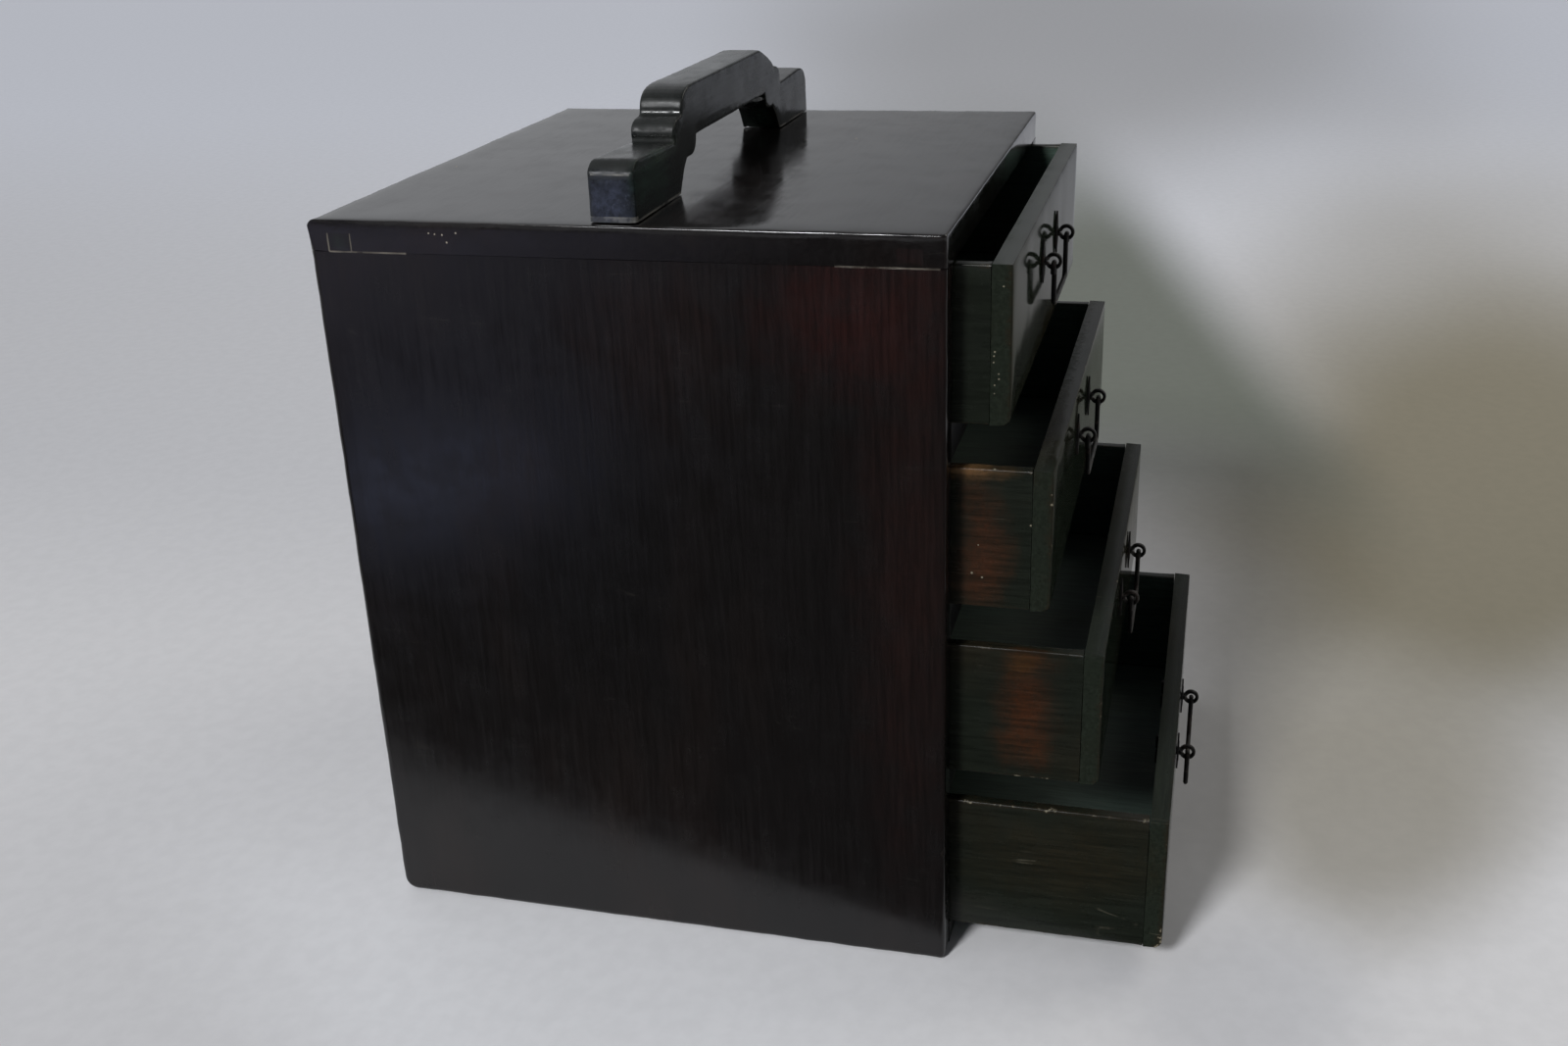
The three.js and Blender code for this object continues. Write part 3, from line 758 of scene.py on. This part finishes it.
left_side = block("left_side", (-half_width, -half_depth, 0), (-inner, half_depth, top_under))
round_edges(left_side, lambda m, way: along(way, 0) and m.z < 0.01 and m.y > 0.1, 0.008, 6)
round_edges(left_side, lambda m, way: along(way, 0) and m.z < 0.01 and m.y < -0.1, 0.003, 3)
round_edges(
    left_side,
    lambda m, way: near(m.x, -half_width) and abs(way.x) < 0.1 and m.z < top_under - 0.001,
    0.0028, 4,
)
round_edges(
    left_side,
    lambda m, way: near(m.x, -inner) and near(m.y, -half_depth) and along(way, 2),
    0.001, 2,
)
mesh_over(left_side, 0.0065)
for place in finger_places:
    slice_up(left_side, 1, (place - finger_half, place + finger_half))
slice_up(left_side, 0, (-half_width + finger_depth,))
push_out(
    left_side,
    lambda m, way: way.z > 0.9 and m.z > top_under - 0.001 and m.x < -half_width + finger_depth
    and min(abs(m.y - p) for p in finger_places) < finger_half,
    (0, 0, finger_height),
)
housings = [
    block(
        "cutter",
        (-inner - housing - slack, -half_depth + 0.012, low - slack),
        (-inner + overrun, half_depth - 0.005, high + slack),
    )
    for name, low, high in level_boards
]
# The bottom's housing is lowered 2 mm, so that it opens well at the side board's lower edge. Its
# upper edge then lies 1.7 mm too low, which is hidden inside the joint.
housings[0].location.z -= 0.002
settle(housings[0])
rebate = block(
    "cutter",
    (-inner - 0.008, half_depth - 0.0103, -overrun),
    (-inner + overrun, half_depth + overrun, top_under + overrun),
)
cut_with(left_side, [*housings, rebate])
weather(left_side)
right_side = mirrored(left_side, "right_side")
fit(left_side, "left_side_panel", case_upright)
fit(right_side, "right_side_panel", case_upright)
print("side boards", len(left_side.data.polygons), "faces each")

# %% Top board
top_over = top_under + top_thickness
top = block("top", (-half_width, -half_depth, top_under), (half_width, half_depth, top_over))
round_edges(top, lambda m, way: along(way, 0) and m.z > top_under + 0.01 and m.y > 0, 0.005, 5)
round_edges(top, lambda m, way: along(way, 2), 0.0028, 4)
round_edges(
    top,
    lambda m, way: abs(way.z) < 0.1 and near(m.z, top_over) and not (along(way, 0) and m.y > 0),
    0.0018, 3,
)
mesh_over(top, 0.0065)
# On the left the two corners of a cutter come in the wrong order, which turns it inside out, so it
# cuts nothing: the fingers of the left side board lie inside the top there.
notches = [
    block(
        "cutter",
        (side * (half_width - finger_depth - slack), place - finger_half - slack, top_under - overrun),
        (side * (half_width + overrun), place + finger_half + slack, top_under + finger_height + slack),
    )
    for side in (-1, 1) for place in finger_places
]
cut_with(top, notches)
weather(top)
fit(top, "top_panel", case_level)
print("top board", len(top.data.polygons), "faces")

# %% Shelves, bottom and back
def housed_board(name, low, high, front):
    """A board between the sides, with its ends standing in their housings behind a shoulder."""
    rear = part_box("back_panel")[0].y - slack
    made = block(name, (-inner + slack, front, low), (inner - slack, rear, high))
    round_edges(made, lambda m, way: along(way, 0) and near(m.y, front), 0.0008, 2)
    mesh_over(made, 0.015)
    shoulder = -half_depth + 0.0123
    slice_up(made, 1, (shoulder,))
    for side in (-1, 1):
        end = (side * (housing + slack), 0, 0)
        push_out(made, lambda m, way: way.x * side > 0.9 and m.y > shoulder, end)
    return weather(made, 0.0003, 0.0004)


for name, low, high in level_boards:
    setback = 0.0 if name == "bottom_panel" else 0.001
    fit(housed_board(name, low, high, setback - half_depth), name, case_inside)
back = block("back", *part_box("back_panel"))
round_edges(back, lambda m, way: m.y > half_depth - 0.0006, 0.0006, 2)
mesh_over(back, 0.0065)
fit(weather(back), "back_panel", case_upright)
print("level boards and back are in place")

# %% [markdown]
# ## Carry handle
# The handle is one carved piece: a straight bar, two rounded lobes stepping down at each end, and
# flat feet that stand on the top. A carver saws the outline from a plank and rounds it over. We do
# the same: draw the outline as a Bezier curve, give it thickness and a round edge, narrow it
# towards the top with a lattice, and remesh it finely so that it can be worn like the boards.

# %% Outline of the handle
# Each row: where the line goes next (x, height, in mm) and, for a curve, the point that pulls it.
handle_line = [
    ((66.5, 50.0), None), ((87.5, 38.0), (87.5, 50.0)), ((89.0, 37.1), None),
    ((101.8, 29.6), (101.8, 37.1)), ((100.8, 26.3), None), ((153.5, 28.2), None),
    ((163.9, 22.7), (160.0, 28.2)), ((164.0, -2.0), None), ((95.5, -2.0), None), ((95.5, 0.0), None),
    ((82.0, 14.6), (88.75, 10.95)), ((77.0, 14.6), None), ((66.0, 23.8), (66.0, 14.6)),
]
# The far end of the bar is rubbed down in a longer slope than the near one, and its foot is rounder.
far_end = {
    0: ((59.5, 50.0), None), 1: ((87.5, 38.6), (76.0, 45.4)),
    5: ((146.0, 28.2), None), 6: ((164.0, 17.0), (162.0, 28.2)),
}


def draw_outline(name, rows, other):
    """A closed flat Bezier curve: the other end's rows first, then the rows mirrored for the near end."""
    far = [other.get(i, row) for i, row in enumerate(rows)]
    points = [Vector((*p, 0)) / 1000 for p, pull in far]
    pulls = [Vector((*pull, 0)) / 1000 if pull else None for p, pull in far]
    flip = Vector((-1, 1, 1))
    points += [Vector((*p, 0)) / 1000 * flip for p, pull in reversed(rows)]
    pulls += [None] + [pull and Vector((*pull, 0)) / 1000 * flip for p, pull in reversed(rows[1:])]
    bpy.ops.object.select_all(action="DESELECT")
    bpy.ops.curve.primitive_bezier_curve_add()
    drawn = bpy.context.object
    drawn.name = name
    spline = drawn.data.splines[0]
    spline.bezier_points.add(len(points) - 2)
    spline.use_cyclic_u = True
    for i, knot in enumerate(spline.bezier_points):
        knot.handle_left_type = knot.handle_right_type = "FREE"
        knot.co = points[i]
    for i, knot in enumerate(spline.bezier_points):
        before, after = points[i - 1], points[(i + 1) % len(points)]
        arriving, leaving = pulls[i], pulls[(i + 1) % len(points)]
        knot.handle_left = knot.co.lerp(arriving, 2 / 3) if arriving else knot.co.lerp(before, 1 / 3)
        knot.handle_right = knot.co.lerp(leaving, 2 / 3) if leaving else knot.co.lerp(after, 1 / 3)
    drawn.data.dimensions, drawn.data.fill_mode, drawn.data.resolution_u = "2D", "BOTH", 8
    return drawn


handle = draw_outline("handle", handle_line, far_end)
ease, foot_half = 0.0011, 0.0121
handle.data.extrude = foot_half - ease
handle.data.bevel_depth, handle.data.offset, handle.data.bevel_resolution = ease, -ease, 3
handle.rotation_euler.x = math.radians(90)
handle.location.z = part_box("carry_handle")[0].z
bpy.ops.object.convert(target="MESH")
settle(handle)
print("outline", len(handle.data.vertices), "points")

# %% Narrow and remesh the handle
def narrow(piece, low, high, share):
    """Narrow a piece in depth towards its top with a two by two by two lattice."""
    bpy.ops.object.select_all(action="DESELECT")
    bpy.ops.object.add(type="LATTICE", location=(low + high) / 2)
    cage = bpy.context.object
    cage.scale = high - low
    bpy.context.view_layer.update()
    for point in cage.data.points:
        if point.co.z > 0:
            point.co_deform.y *= share
    modify(piece, "LATTICE", object=cage)
    bpy.data.objects.remove(cage)


def remesh(piece, voxel):
    """Close the mesh over with small even faces and smooth out the steps once."""
    with editing(piece):
        bpy.ops.mesh.remove_doubles(threshold=0.00002)
        bpy.ops.mesh.normals_make_consistent(inside=False)
    modify(piece, "REMESH", mode="VOXEL", voxel_size=voxel)
    modify(piece, "SMOOTH", iterations=1, factor=0.5)


handle_low, handle_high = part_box("carry_handle")
top_depth, foot_depth = 21.6, 24.2
narrow(handle, handle_low, handle_high, top_depth / foot_depth)
end, face = 0.1641, 0.0124
plan = block("plan", (-end, -face, handle_low.z - overrun), (end, face, handle_high.z + overrun))
round_edges(plan, lambda m, way: along(way, 2), 0.0036, 6)
cut_with(handle, [plan], "INTERSECT")
remesh(handle, 0.0008)
with editing(handle):
    bpy.ops.mesh.bisect(
        plane_co=(0, 0, handle_low.z), plane_no=(0, 0, 1), use_fill=True, clear_inner=True,
    )
print("handle", len(handle.data.polygons), "faces")

# %% Handle finish and fit
foot = handle_low.z
handle_finish, handle_face_finish = (
    lacquer(
        name, 0, tone(15, 19, 17), tone(27, 28, 25), tone(150, 148, 142),
        stains_and_painted_light=[
            # A painted reflection: the near foot's end face is bluish and lighter.
            ((-0.165, 0.0, foot + 0.009), (0.006, 0.020, 0.021), tone(50, 55, 70), 1.0),
            ((-0.140, -0.012, foot + 0.020), (0.045, 0.006, 0.022), tone(31, 48, 40), 0.9),
            # A painted highlight: a pale band along the top of the bar.
            ((0.01, 0.0, foot + 0.0500), (0.110, 0.03, 0.004), tone(70, 74, 76), 0.8),
            ((-0.120, -0.012, foot + 0.027), (0.030, 0.004, 0.010), tone(56, 66, 56), 0.7),
            ((0.096, 0.0, foot + 0.016), (0.018, 0.0115, 0.022), tone(44, 66, 54), 0.9),
        ],
        lines=[
            # Partly rubbed wear and partly a painted highlight: a pale line along the near foot's arris.
            ((-0.1632, 0.0, foot + 0.0222), (0.0016, 0.0095, 0.0004), 0.8),
            ((-0.1632, 0.0, foot + 0.0014), (0.0024, 0.0118, 0.0014), 1.0),
            # A painted pale line along the foot of the front face; it lightens the shade of the gap below.
            ((0.0, -0.0119, foot + 0.0006), (0.1640, 0.0006, 0.0006), 0.45),
        ],
        dull=[
            ((-0.096, 0.0, foot + 0.0330), (0.012, 0.03, 0.006), 0.42),
            ((-0.086, 0.0, foot + 0.0420), (0.006, 0.03, 0.0045), 0.18),
            ((-0.090, 0.0, foot + 0.0372), (0.004, 0.03, 0.0025), 0.40),
            ((-0.101, 0.0, foot + 0.0263), (0.004, 0.03, 0.003), 0.6),
            ((-0.159, 0.0, foot + 0.0265), (0.007, 0.03, 0.004), 0.35),
            ((-0.164, 0.0, foot + 0.0222), (0.003, 0.03, 0.003), 0.30),
        ],
        gloss=0.22, rub=-0.1, flecks=0.015, grain=0.6, mirror=mirror,
    )
    for name, mirror in (("handle_finish", 0.45), ("handle_face_finish", 0.10))
)
weather(handle, 0.0003, 0.0004)
fit(handle, "carry_handle", handle_finish, handle_face_finish)

bare_wood = lacquer(
    "bare_wood", 2, tone(120, 92, 62), tone(140, 112, 78), tone(160, 134, 98),
    gloss=0.6, flecks=0.0,
)
for name, solid in frame["nodes"].items():
    if name.startswith("handle_dowel"):
        solid.data.materials[0] = bare_wood
print("handle fitted, dowels in bare wood")

# %% [markdown]
# ## Drawers
# Each drawer is five boards. The front hides the ends of the sides, which are tongued into it;
# the bottom slides in grooves and the back is housed between the sides. Two drawers are 77 mm
# high and two are 73, so each height is made once and copied, and each copy is weathered by
# itself, because the clouds that wear it down are fixed in space and give every copy its own dents.

# %% Drawer finishes
drawer_half = 0.15125
olive, umber, straw = tone(24, 28, 22), tone(37, 32, 23), tone(124, 118, 100)
side_marks = [
    ((-drawer_half, y, z), radii, patch_tone, share)
    for y, z, radii, patch_tone, share in (
        (-0.169, 0.274, (0.012, 0.024, 0.008), tone(104, 78, 50), 1.0),
        (-0.172, 0.233, (0.006, 0.020, 0.055), tone(62, 36, 22), 0.9),
        (-0.196, 0.150, (0.006, 0.022, 0.055), tone(62, 34, 18), 0.95),
        (-0.192, 0.172, (0.006, 0.016, 0.012), tone(60, 40, 20), 0.8),
        (-0.215, 0.062, (0.006, 0.080, 0.040), tone(34, 30, 20), 0.8),
    )
]
drawer_spots = [
    (-drawer_half, *place) for place in (
        (-0.1800, 0.3628, 0.0006), (-0.1765, 0.3320, 0.0006), (-0.1762, 0.3300, 0.0005),
        (-0.1760, 0.3270, 0.0005), (-0.1785, 0.3215, 0.0006), (-0.1786, 0.3190, 0.0006),
        (-0.1766, 0.3160, 0.0005), (-0.1766, 0.3120, 0.0004), (-0.1950, 0.2470, 0.0006),
        (-0.1720, 0.2180, 0.0006), (-0.1670, 0.2200, 0.0007), (-0.1700, 0.2350, 0.0005),
    )
]
top_edges = [
    ((0.0, y, z), (0.3, 0.016, 0.006), 0.4)
    for y, z in ((-0.200, 0.279), (-0.227, 0.181), (-0.263, 0.0905))
]
drawer_face_finish, drawer_front_finish, drawer_side_finish = (
    lacquer(
        name, grain_axis, coat, umber, straw, side_marks, (), drawer_spots, top_edges,
        gloss=0.25, rub=0.25, flecks=0.008, hairs=0.25, grain=0.6, mirror=mirror,
    )
    for name, grain_axis, coat, mirror in (
        ("drawer_face_finish", 0, tone(32, 37, 30), 0.004),
        ("drawer_front_finish", 0, tone(31, 36, 29), 0.12),
        ("drawer_side_finish", 1, olive, 0.25),
    )
)
drawer_inside = lacquer(
    "drawer_inside", 1, lining_tone, tone(72, 78, 66), tone(104, 100, 84),
    gloss=0.6, flecks=0.0,
)
print("drawer finishes are ready")

# %% Rods and marked points
front_thickness, wall = 0.0100, 0.0075
side_inside, side_middle = wall - drawer_half, wall / 2 - drawer_half
eye_half, eye_height, eye_reach = 0.0327, 0.0495, 0.006


def rod(name, radius, ends, sides=48):
    """A round bar between two points, from front to back."""
    low, high = Vector(ends[0]), Vector(ends[1])
    bpy.ops.object.select_all(action="DESELECT")
    bpy.ops.mesh.primitive_cylinder_add(
        vertices=sides, radius=radius, depth=(high - low).length,
        location=(low + high) / 2, rotation=(math.radians(90), 0, 0),
    )
    made = bpy.context.object
    made.name = name
    return settle(made)


def mark(piece, name, wanted):
    """Write an attribute that is 1 on the points that pass a test and 0 on the others."""
    made = piece.data.attributes.new(name, "FLOAT", "POINT")
    made.data.foreach_set("value", [float(wanted(v.co)) for v in piece.data.vertices])


print("drawers are", 2 * drawer_half, "wide, with walls of", wall)

# %% Boards of one drawer
def drawer_boards(height):
    """The boards of one drawer, its front face's lower edge at the middle of the origin."""
    front = block("front", (-drawer_half, 0, 0), (drawer_half, front_thickness, height))
    for wanted, radius, segments in (
        (lambda m, way: along(way, 0) and near(m.y, 0) and m.z < 0.01, 0.0035, 4),
        (lambda m, way: near(abs(m.x), drawer_half) and m.y < 0.002 and abs(way.x) < 0.1, 0.0012, 3),
        (lambda m, way: along(way, 0) and near(m.y, 0) and m.z > 0.01, 0.0015, 3),
    ):
        round_edges(front, wanted, radius, segments)
    mesh_over(front, 0.0065)
    mark(front, "shine", lambda place: place.y < 0.0002)

    # The side: its tongue starts 9 mm below the top edge; grooves take the bottom and the back.
    start, depth = front_thickness + 0.00005, 0.300
    side = block("side", (-drawer_half, start, 0), (side_inside, depth, height))
    round_edges(side, lambda m, way: along(way, 1) and m.z > 0.05, 0.0015, 3)
    round_edges(side, lambda m, way: along(way, 1) and m.z < 0.05, 0.0008, 2)
    mesh_over(side, 0.0065)
    tongue_half, tongue_length, tongue_top = 0.00175, 0.0043, height - 0.009
    tongue = [half - drawer_half + wall / 2 for half in (tongue_half, -tongue_half)]
    slice_up(side, 0, tongue)
    slice_up(side, 2, (tongue_top,))
    push_out(
        side,
        lambda m, way: way.y < -0.9 and tongue[1] < m.x < tongue[0] and 0.001 < m.z < tongue_top,
        (0, -tongue_length, 0),
    )
    mark(side, "lining", lambda place: place.x > side_inside - 0.0004)
    groove_low, groove_high, groove_depth = 0.0037, 0.0093, 0.0035
    cut_with(side, [
        block("cutter", (side_inside - groove_depth, -overrun, groove_low), (0, 0.31, groove_high)),
        block("cutter", (side_inside - 0.003, 0.2827, 0.009), (0, 0.2913, height + overrun)),
    ])

    # The front: holes for the eye pins, a groove for the bottom and slots for the tongues.
    behind = 0.03
    eye_holes = [
        rod("cutter", 0.0025, ((x, -overrun, eye_height), (x, behind, eye_height)), 32)
        for x in (-eye_half, eye_half)
    ]
    groove = block(
        "cutter",
        (side_inside - groove_depth, front_thickness - groove_depth, groove_low),
        (groove_depth - side_inside, behind, groove_high),
    )
    slots = [
        block(
            "cutter",
            (middle - tongue_half - slack, front_thickness - tongue_length, -overrun),
            (middle + tongue_half + slack, behind, tongue_top + slack),
        )
        for middle in (side_middle, -side_middle)
    ]
    cut_with(front, [*eye_holes, groove, *slots])

    right_side = mirrored(side, "right_side")
    reach, back_start, back_end = 0.0027 - side_inside, 0.283, 0.291
    back = block("back", (-reach, back_start, groove_high), (reach, back_end, height - 0.003))
    round_edges(back, lambda m, way: along(way, 0) and m.z > 0.05, 0.0015, 3)
    mesh_over(back, 0.012)
    reach, bottom_start = 0.0032 - side_inside, front_thickness - 0.0032
    bottom = block("bottom", (-reach, bottom_start, 0.004), (reach, depth, 0.009))
    mesh_over(bottom, 0.018)
    return {
        "front": front, "left_side": side, "right_side": right_side, "back": back, "bottom": bottom,
    }


print("the boards of a drawer are ready")

# %% Four drawers
drawer_finish = {
    "front": drawer_front_finish, "left_side": drawer_side_finish, "right_side": drawer_side_finish,
    "back": drawer_inside, "bottom": drawer_inside,
}
for numbers in ((1, 4), (2, 3)):
    low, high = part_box(f"drawer_{numbers[0]}_front")
    height = high.z - low.z
    boards = drawer_boards(height)
    for number in numbers:
        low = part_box(f"drawer_{number}_front")[0]
        for part, board in boards.items():
            copied = weather(copy_of(board, "board", (0, low.y, low.z)), 0.0003, 0.0006)
            face_finish = drawer_face_finish if part == "front" else None
            fit(copied, f"drawer_{number}_{part}", drawer_finish[part], face_finish)
    for board in boards.values():
        bpy.data.objects.remove(board)
    print("drawers", numbers, "are", round(height, 4), "high")

# %% [markdown]
# ## Iron pulls
# Each pull is a bent wire, the bail, that hangs in two eye pins. An eye pin is a strip of iron
# bent into a ring; its two ends pass together through the drawer front and are spread behind it.
# A thin leaf-shaped plate lies under each eye. A smith bends wire and strip along a line, so we
# draw the middle line as a curve and let the curve's bevel give it its section.

# %% Iron finish
def iron_material(name, metal, rough):
    """Old iron: how metallic it still looks, and how rough, where it is least rusty."""
    made, tree = empty_material(name)
    place = node(tree, "TexCoord").outputs["Object"]
    wear = node(tree, "Attribute", attribute_name="wear").outputs["Fac"]
    broad = cloud(tree, place, 0.009, 4.0)
    fine = cloud(tree, place, 0.0012, 4.0, 0.7)
    rust = spread(tree, plus(tree, broad, times(tree, fine, 0.4)), 0.72, 0.86)
    colour = blend(tree, rust, tone(30, 29, 28), tone(44, 32, 24))
    colour = blend(tree, 1.0, colour, spread(tree, fine, 0.3, 0.7, 0.7, 1.3), "MULTIPLY")
    bright = times(tree, spread(tree, plus(tree, wear, fine), 1.0, 1.5), 0.4)
    colour = blend(tree, bright, colour, tone(120, 118, 114))
    bump = node(tree, "Bump", {"Height": fine, "Strength": 0.6, "Distance": 0.0003}).outputs["Normal"]
    shader = node(tree, "BsdfPrincipled", {
        "Base Color": colour,
        "Metallic": spread(tree, rust, 0.0, 1.0, metal, 0.0),
        "Roughness": spread(tree, broad, 0.3, 0.7, rough, rough + 0.2),
        "Normal": bump,
    })
    close_material(tree, shader.outputs["BSDF"])
    return made


iron = iron_material("forged_iron", 0.6, 0.42)
dull_iron = iron_material("blackened_plate_iron", 0.0, 0.75)
print("finishes", iron.name, dull_iron.name)

# %% Bent rods
def bent_rod(name, rows, flat=False):
    """A curve through corners (x, y, z, radius of the bend) with a straight between bends."""
    bpy.ops.object.select_all(action="DESELECT")
    bpy.ops.curve.primitive_bezier_curve_add()
    drawn = bpy.context.object
    drawn.name = name
    knots = []
    for i, (*corner, radius) in enumerate(rows):
        corner = Vector(corner)
        if radius == 0:
            knots.append((corner, corner, corner))
            continue
        before, after = Vector(rows[i - 1][:3]), Vector(rows[(i + 1) % len(rows)][:3])
        start = corner + (before - corner).normalized() * radius
        end = corner + (after - corner).normalized() * radius
        knots.append((start, start, start.lerp(corner, 0.5523)))
        knots.append((end, end.lerp(corner, 0.5523), end))
    spline = drawn.data.splines[0]
    spline.bezier_points.add(len(knots) - 2)
    for knot, (place, handle_in, handle_out) in zip(spline.bezier_points, knots):
        knot.handle_left_type = knot.handle_right_type = "FREE"
        knot.co, knot.handle_left, knot.handle_right = place, handle_in, handle_out
    drawn.data.dimensions = "2D" if flat else "3D"
    drawn.data.resolution_u, drawn.data.bevel_resolution = 6, 4
    drawn.data.use_fill_caps = True
    return drawn


def rod_to_mesh(drawn):
    """Make the curve a mesh at its place, with its ends and seams closed."""
    only(drawn)
    bpy.ops.object.convert(target="MESH")
    settle(drawn)
    with editing(drawn):
        bpy.ops.mesh.remove_doubles(threshold=0.00001)
        bpy.ops.mesh.normals_make_consistent(inside=False)
    return drawn


print("bent rods are ready")

# %% Bail
bail_top, hook = eye_height - 0.0011, 0.0032


def make_bail():
    """The wire between the eyes; its hooked ends pass through them from inside and turn down."""
    outer, inside = eye_half + hook, eye_half - hook
    drop, tail = bail_top - 0.023, bail_top - 0.005
    rows = [
        (-outer, -eye_reach, tail, 0), (-outer, -eye_reach, bail_top, 0.0017),
        (-inside, -eye_reach, bail_top, 0.0017), (-inside, -eye_reach, drop, 0.0045),
        (inside, -eye_reach, drop, 0.0045), (inside, -eye_reach, bail_top, 0.0017),
        (outer, -eye_reach, bail_top, 0.0017), (outer, -eye_reach, tail, 0),
    ]
    drawn = bent_rod("bail", rows)
    drawn.data.bevel_depth = 0.0014
    return rod_to_mesh(drawn)


bail = make_bail()
print("bail", tuple(round(1000 * v, 1) for v in bail.dimensions), "mm")

# %% Eye pin
def make_eye(x):
    """A strip bent round in a ring, with both ends through the front and spread behind it.

    The curve's caps close only the upper end; the lower one stays open, inside the drawer.
    """
    ring, steps, leave = 0.0035, 18, math.radians(22)
    behind, ring_middle = front_thickness + 0.0011, eye_reach - 0.0001
    upper = [(behind, 0.009, 0, 0), (behind, 0.0010, 0, 0.0007), (-0.0016, 0.0010, 0, 0)]
    turns = [leave + (2 * math.pi - 2 * leave) * i / steps for i in range(steps + 1)]
    round_part = [(ring * math.cos(t) - ring_middle, ring * math.sin(t), 0, 0) for t in turns]
    lower = [(u, -v, w, r) for u, v, w, r in reversed(upper)]
    drawn = bent_rod("eye", upper + round_part + lower, flat=True)
    drawn.data.fill_mode = "NONE"
    drawn.data.extrude, drawn.data.bevel_depth, drawn.data.bevel_resolution = 0.0007, 0.0009, 3
    drawn.rotation_euler = (math.radians(90), 0, math.radians(90))
    drawn.location = (x, 0, eye_height)
    return rod_to_mesh(drawn)


eye = make_eye(-eye_half)
print("eye", tuple(round(1000 * v, 1) for v in eye.dimensions), "mm")

# %% Leaf plate
def make_plate(x):
    """Two discs leave a leaf where they overlap; its face is raised in steps to a low dome."""
    radius, offset, sides = 0.01772, 0.01322, 144
    left, right = x - offset, x + offset
    leaf = rod("disc", radius, ((left, -0.00004, eye_height), (left, -0.0010, eye_height)), sides)
    other = rod("cutter", radius, ((right, 0.01, eye_height), (right, -0.01, eye_height)), sides)
    cut_with(leaf, [other], "INTERSECT")
    with editing(leaf):
        for share, rise in ((0.86, 0.0002), (0.6, 0.0001)):
            pick(leaf, "FACE", lambda m, way: way.y < -0.95)
            bpy.ops.mesh.extrude_region_move(TRANSFORM_OT_translate={"value": (0, -rise, 0)})
            bpy.ops.transform.resize(value=(share, 1, share), center_override=(x, 0, eye_height))
    hole = rod("cutter", 0.0026, ((x, -0.01, eye_height), (x, 0.01, eye_height)), 32)
    return cut_with(leaf, [hole])


plate = make_plate(-eye_half)
print("plate", tuple(round(1000 * v, 1) for v in plate.dimensions), "mm")

# %% Pulls on the four drawers
for number in (1, 2, 3, 4):
    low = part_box(f"drawer_{number}_front")[0]
    for part, piece, shift in (
        ("bail", bail, 0), ("left_eye", eye, 0), ("right_eye", eye, 2 * eye_half),
        ("left_plate", plate, 0), ("right_plate", plate, 2 * eye_half),
    ):
        placed = copy_of(piece, "pull", (shift, low.y, low.z))
        finish = dull_iron if "plate" in part else iron
        fit(weather(placed, 0.0001, 0.0001, 35), f"drawer_{number}_{part}", finish)
for piece in (bail, eye, plate):
    bpy.data.objects.remove(piece)
print("pulls are in place")
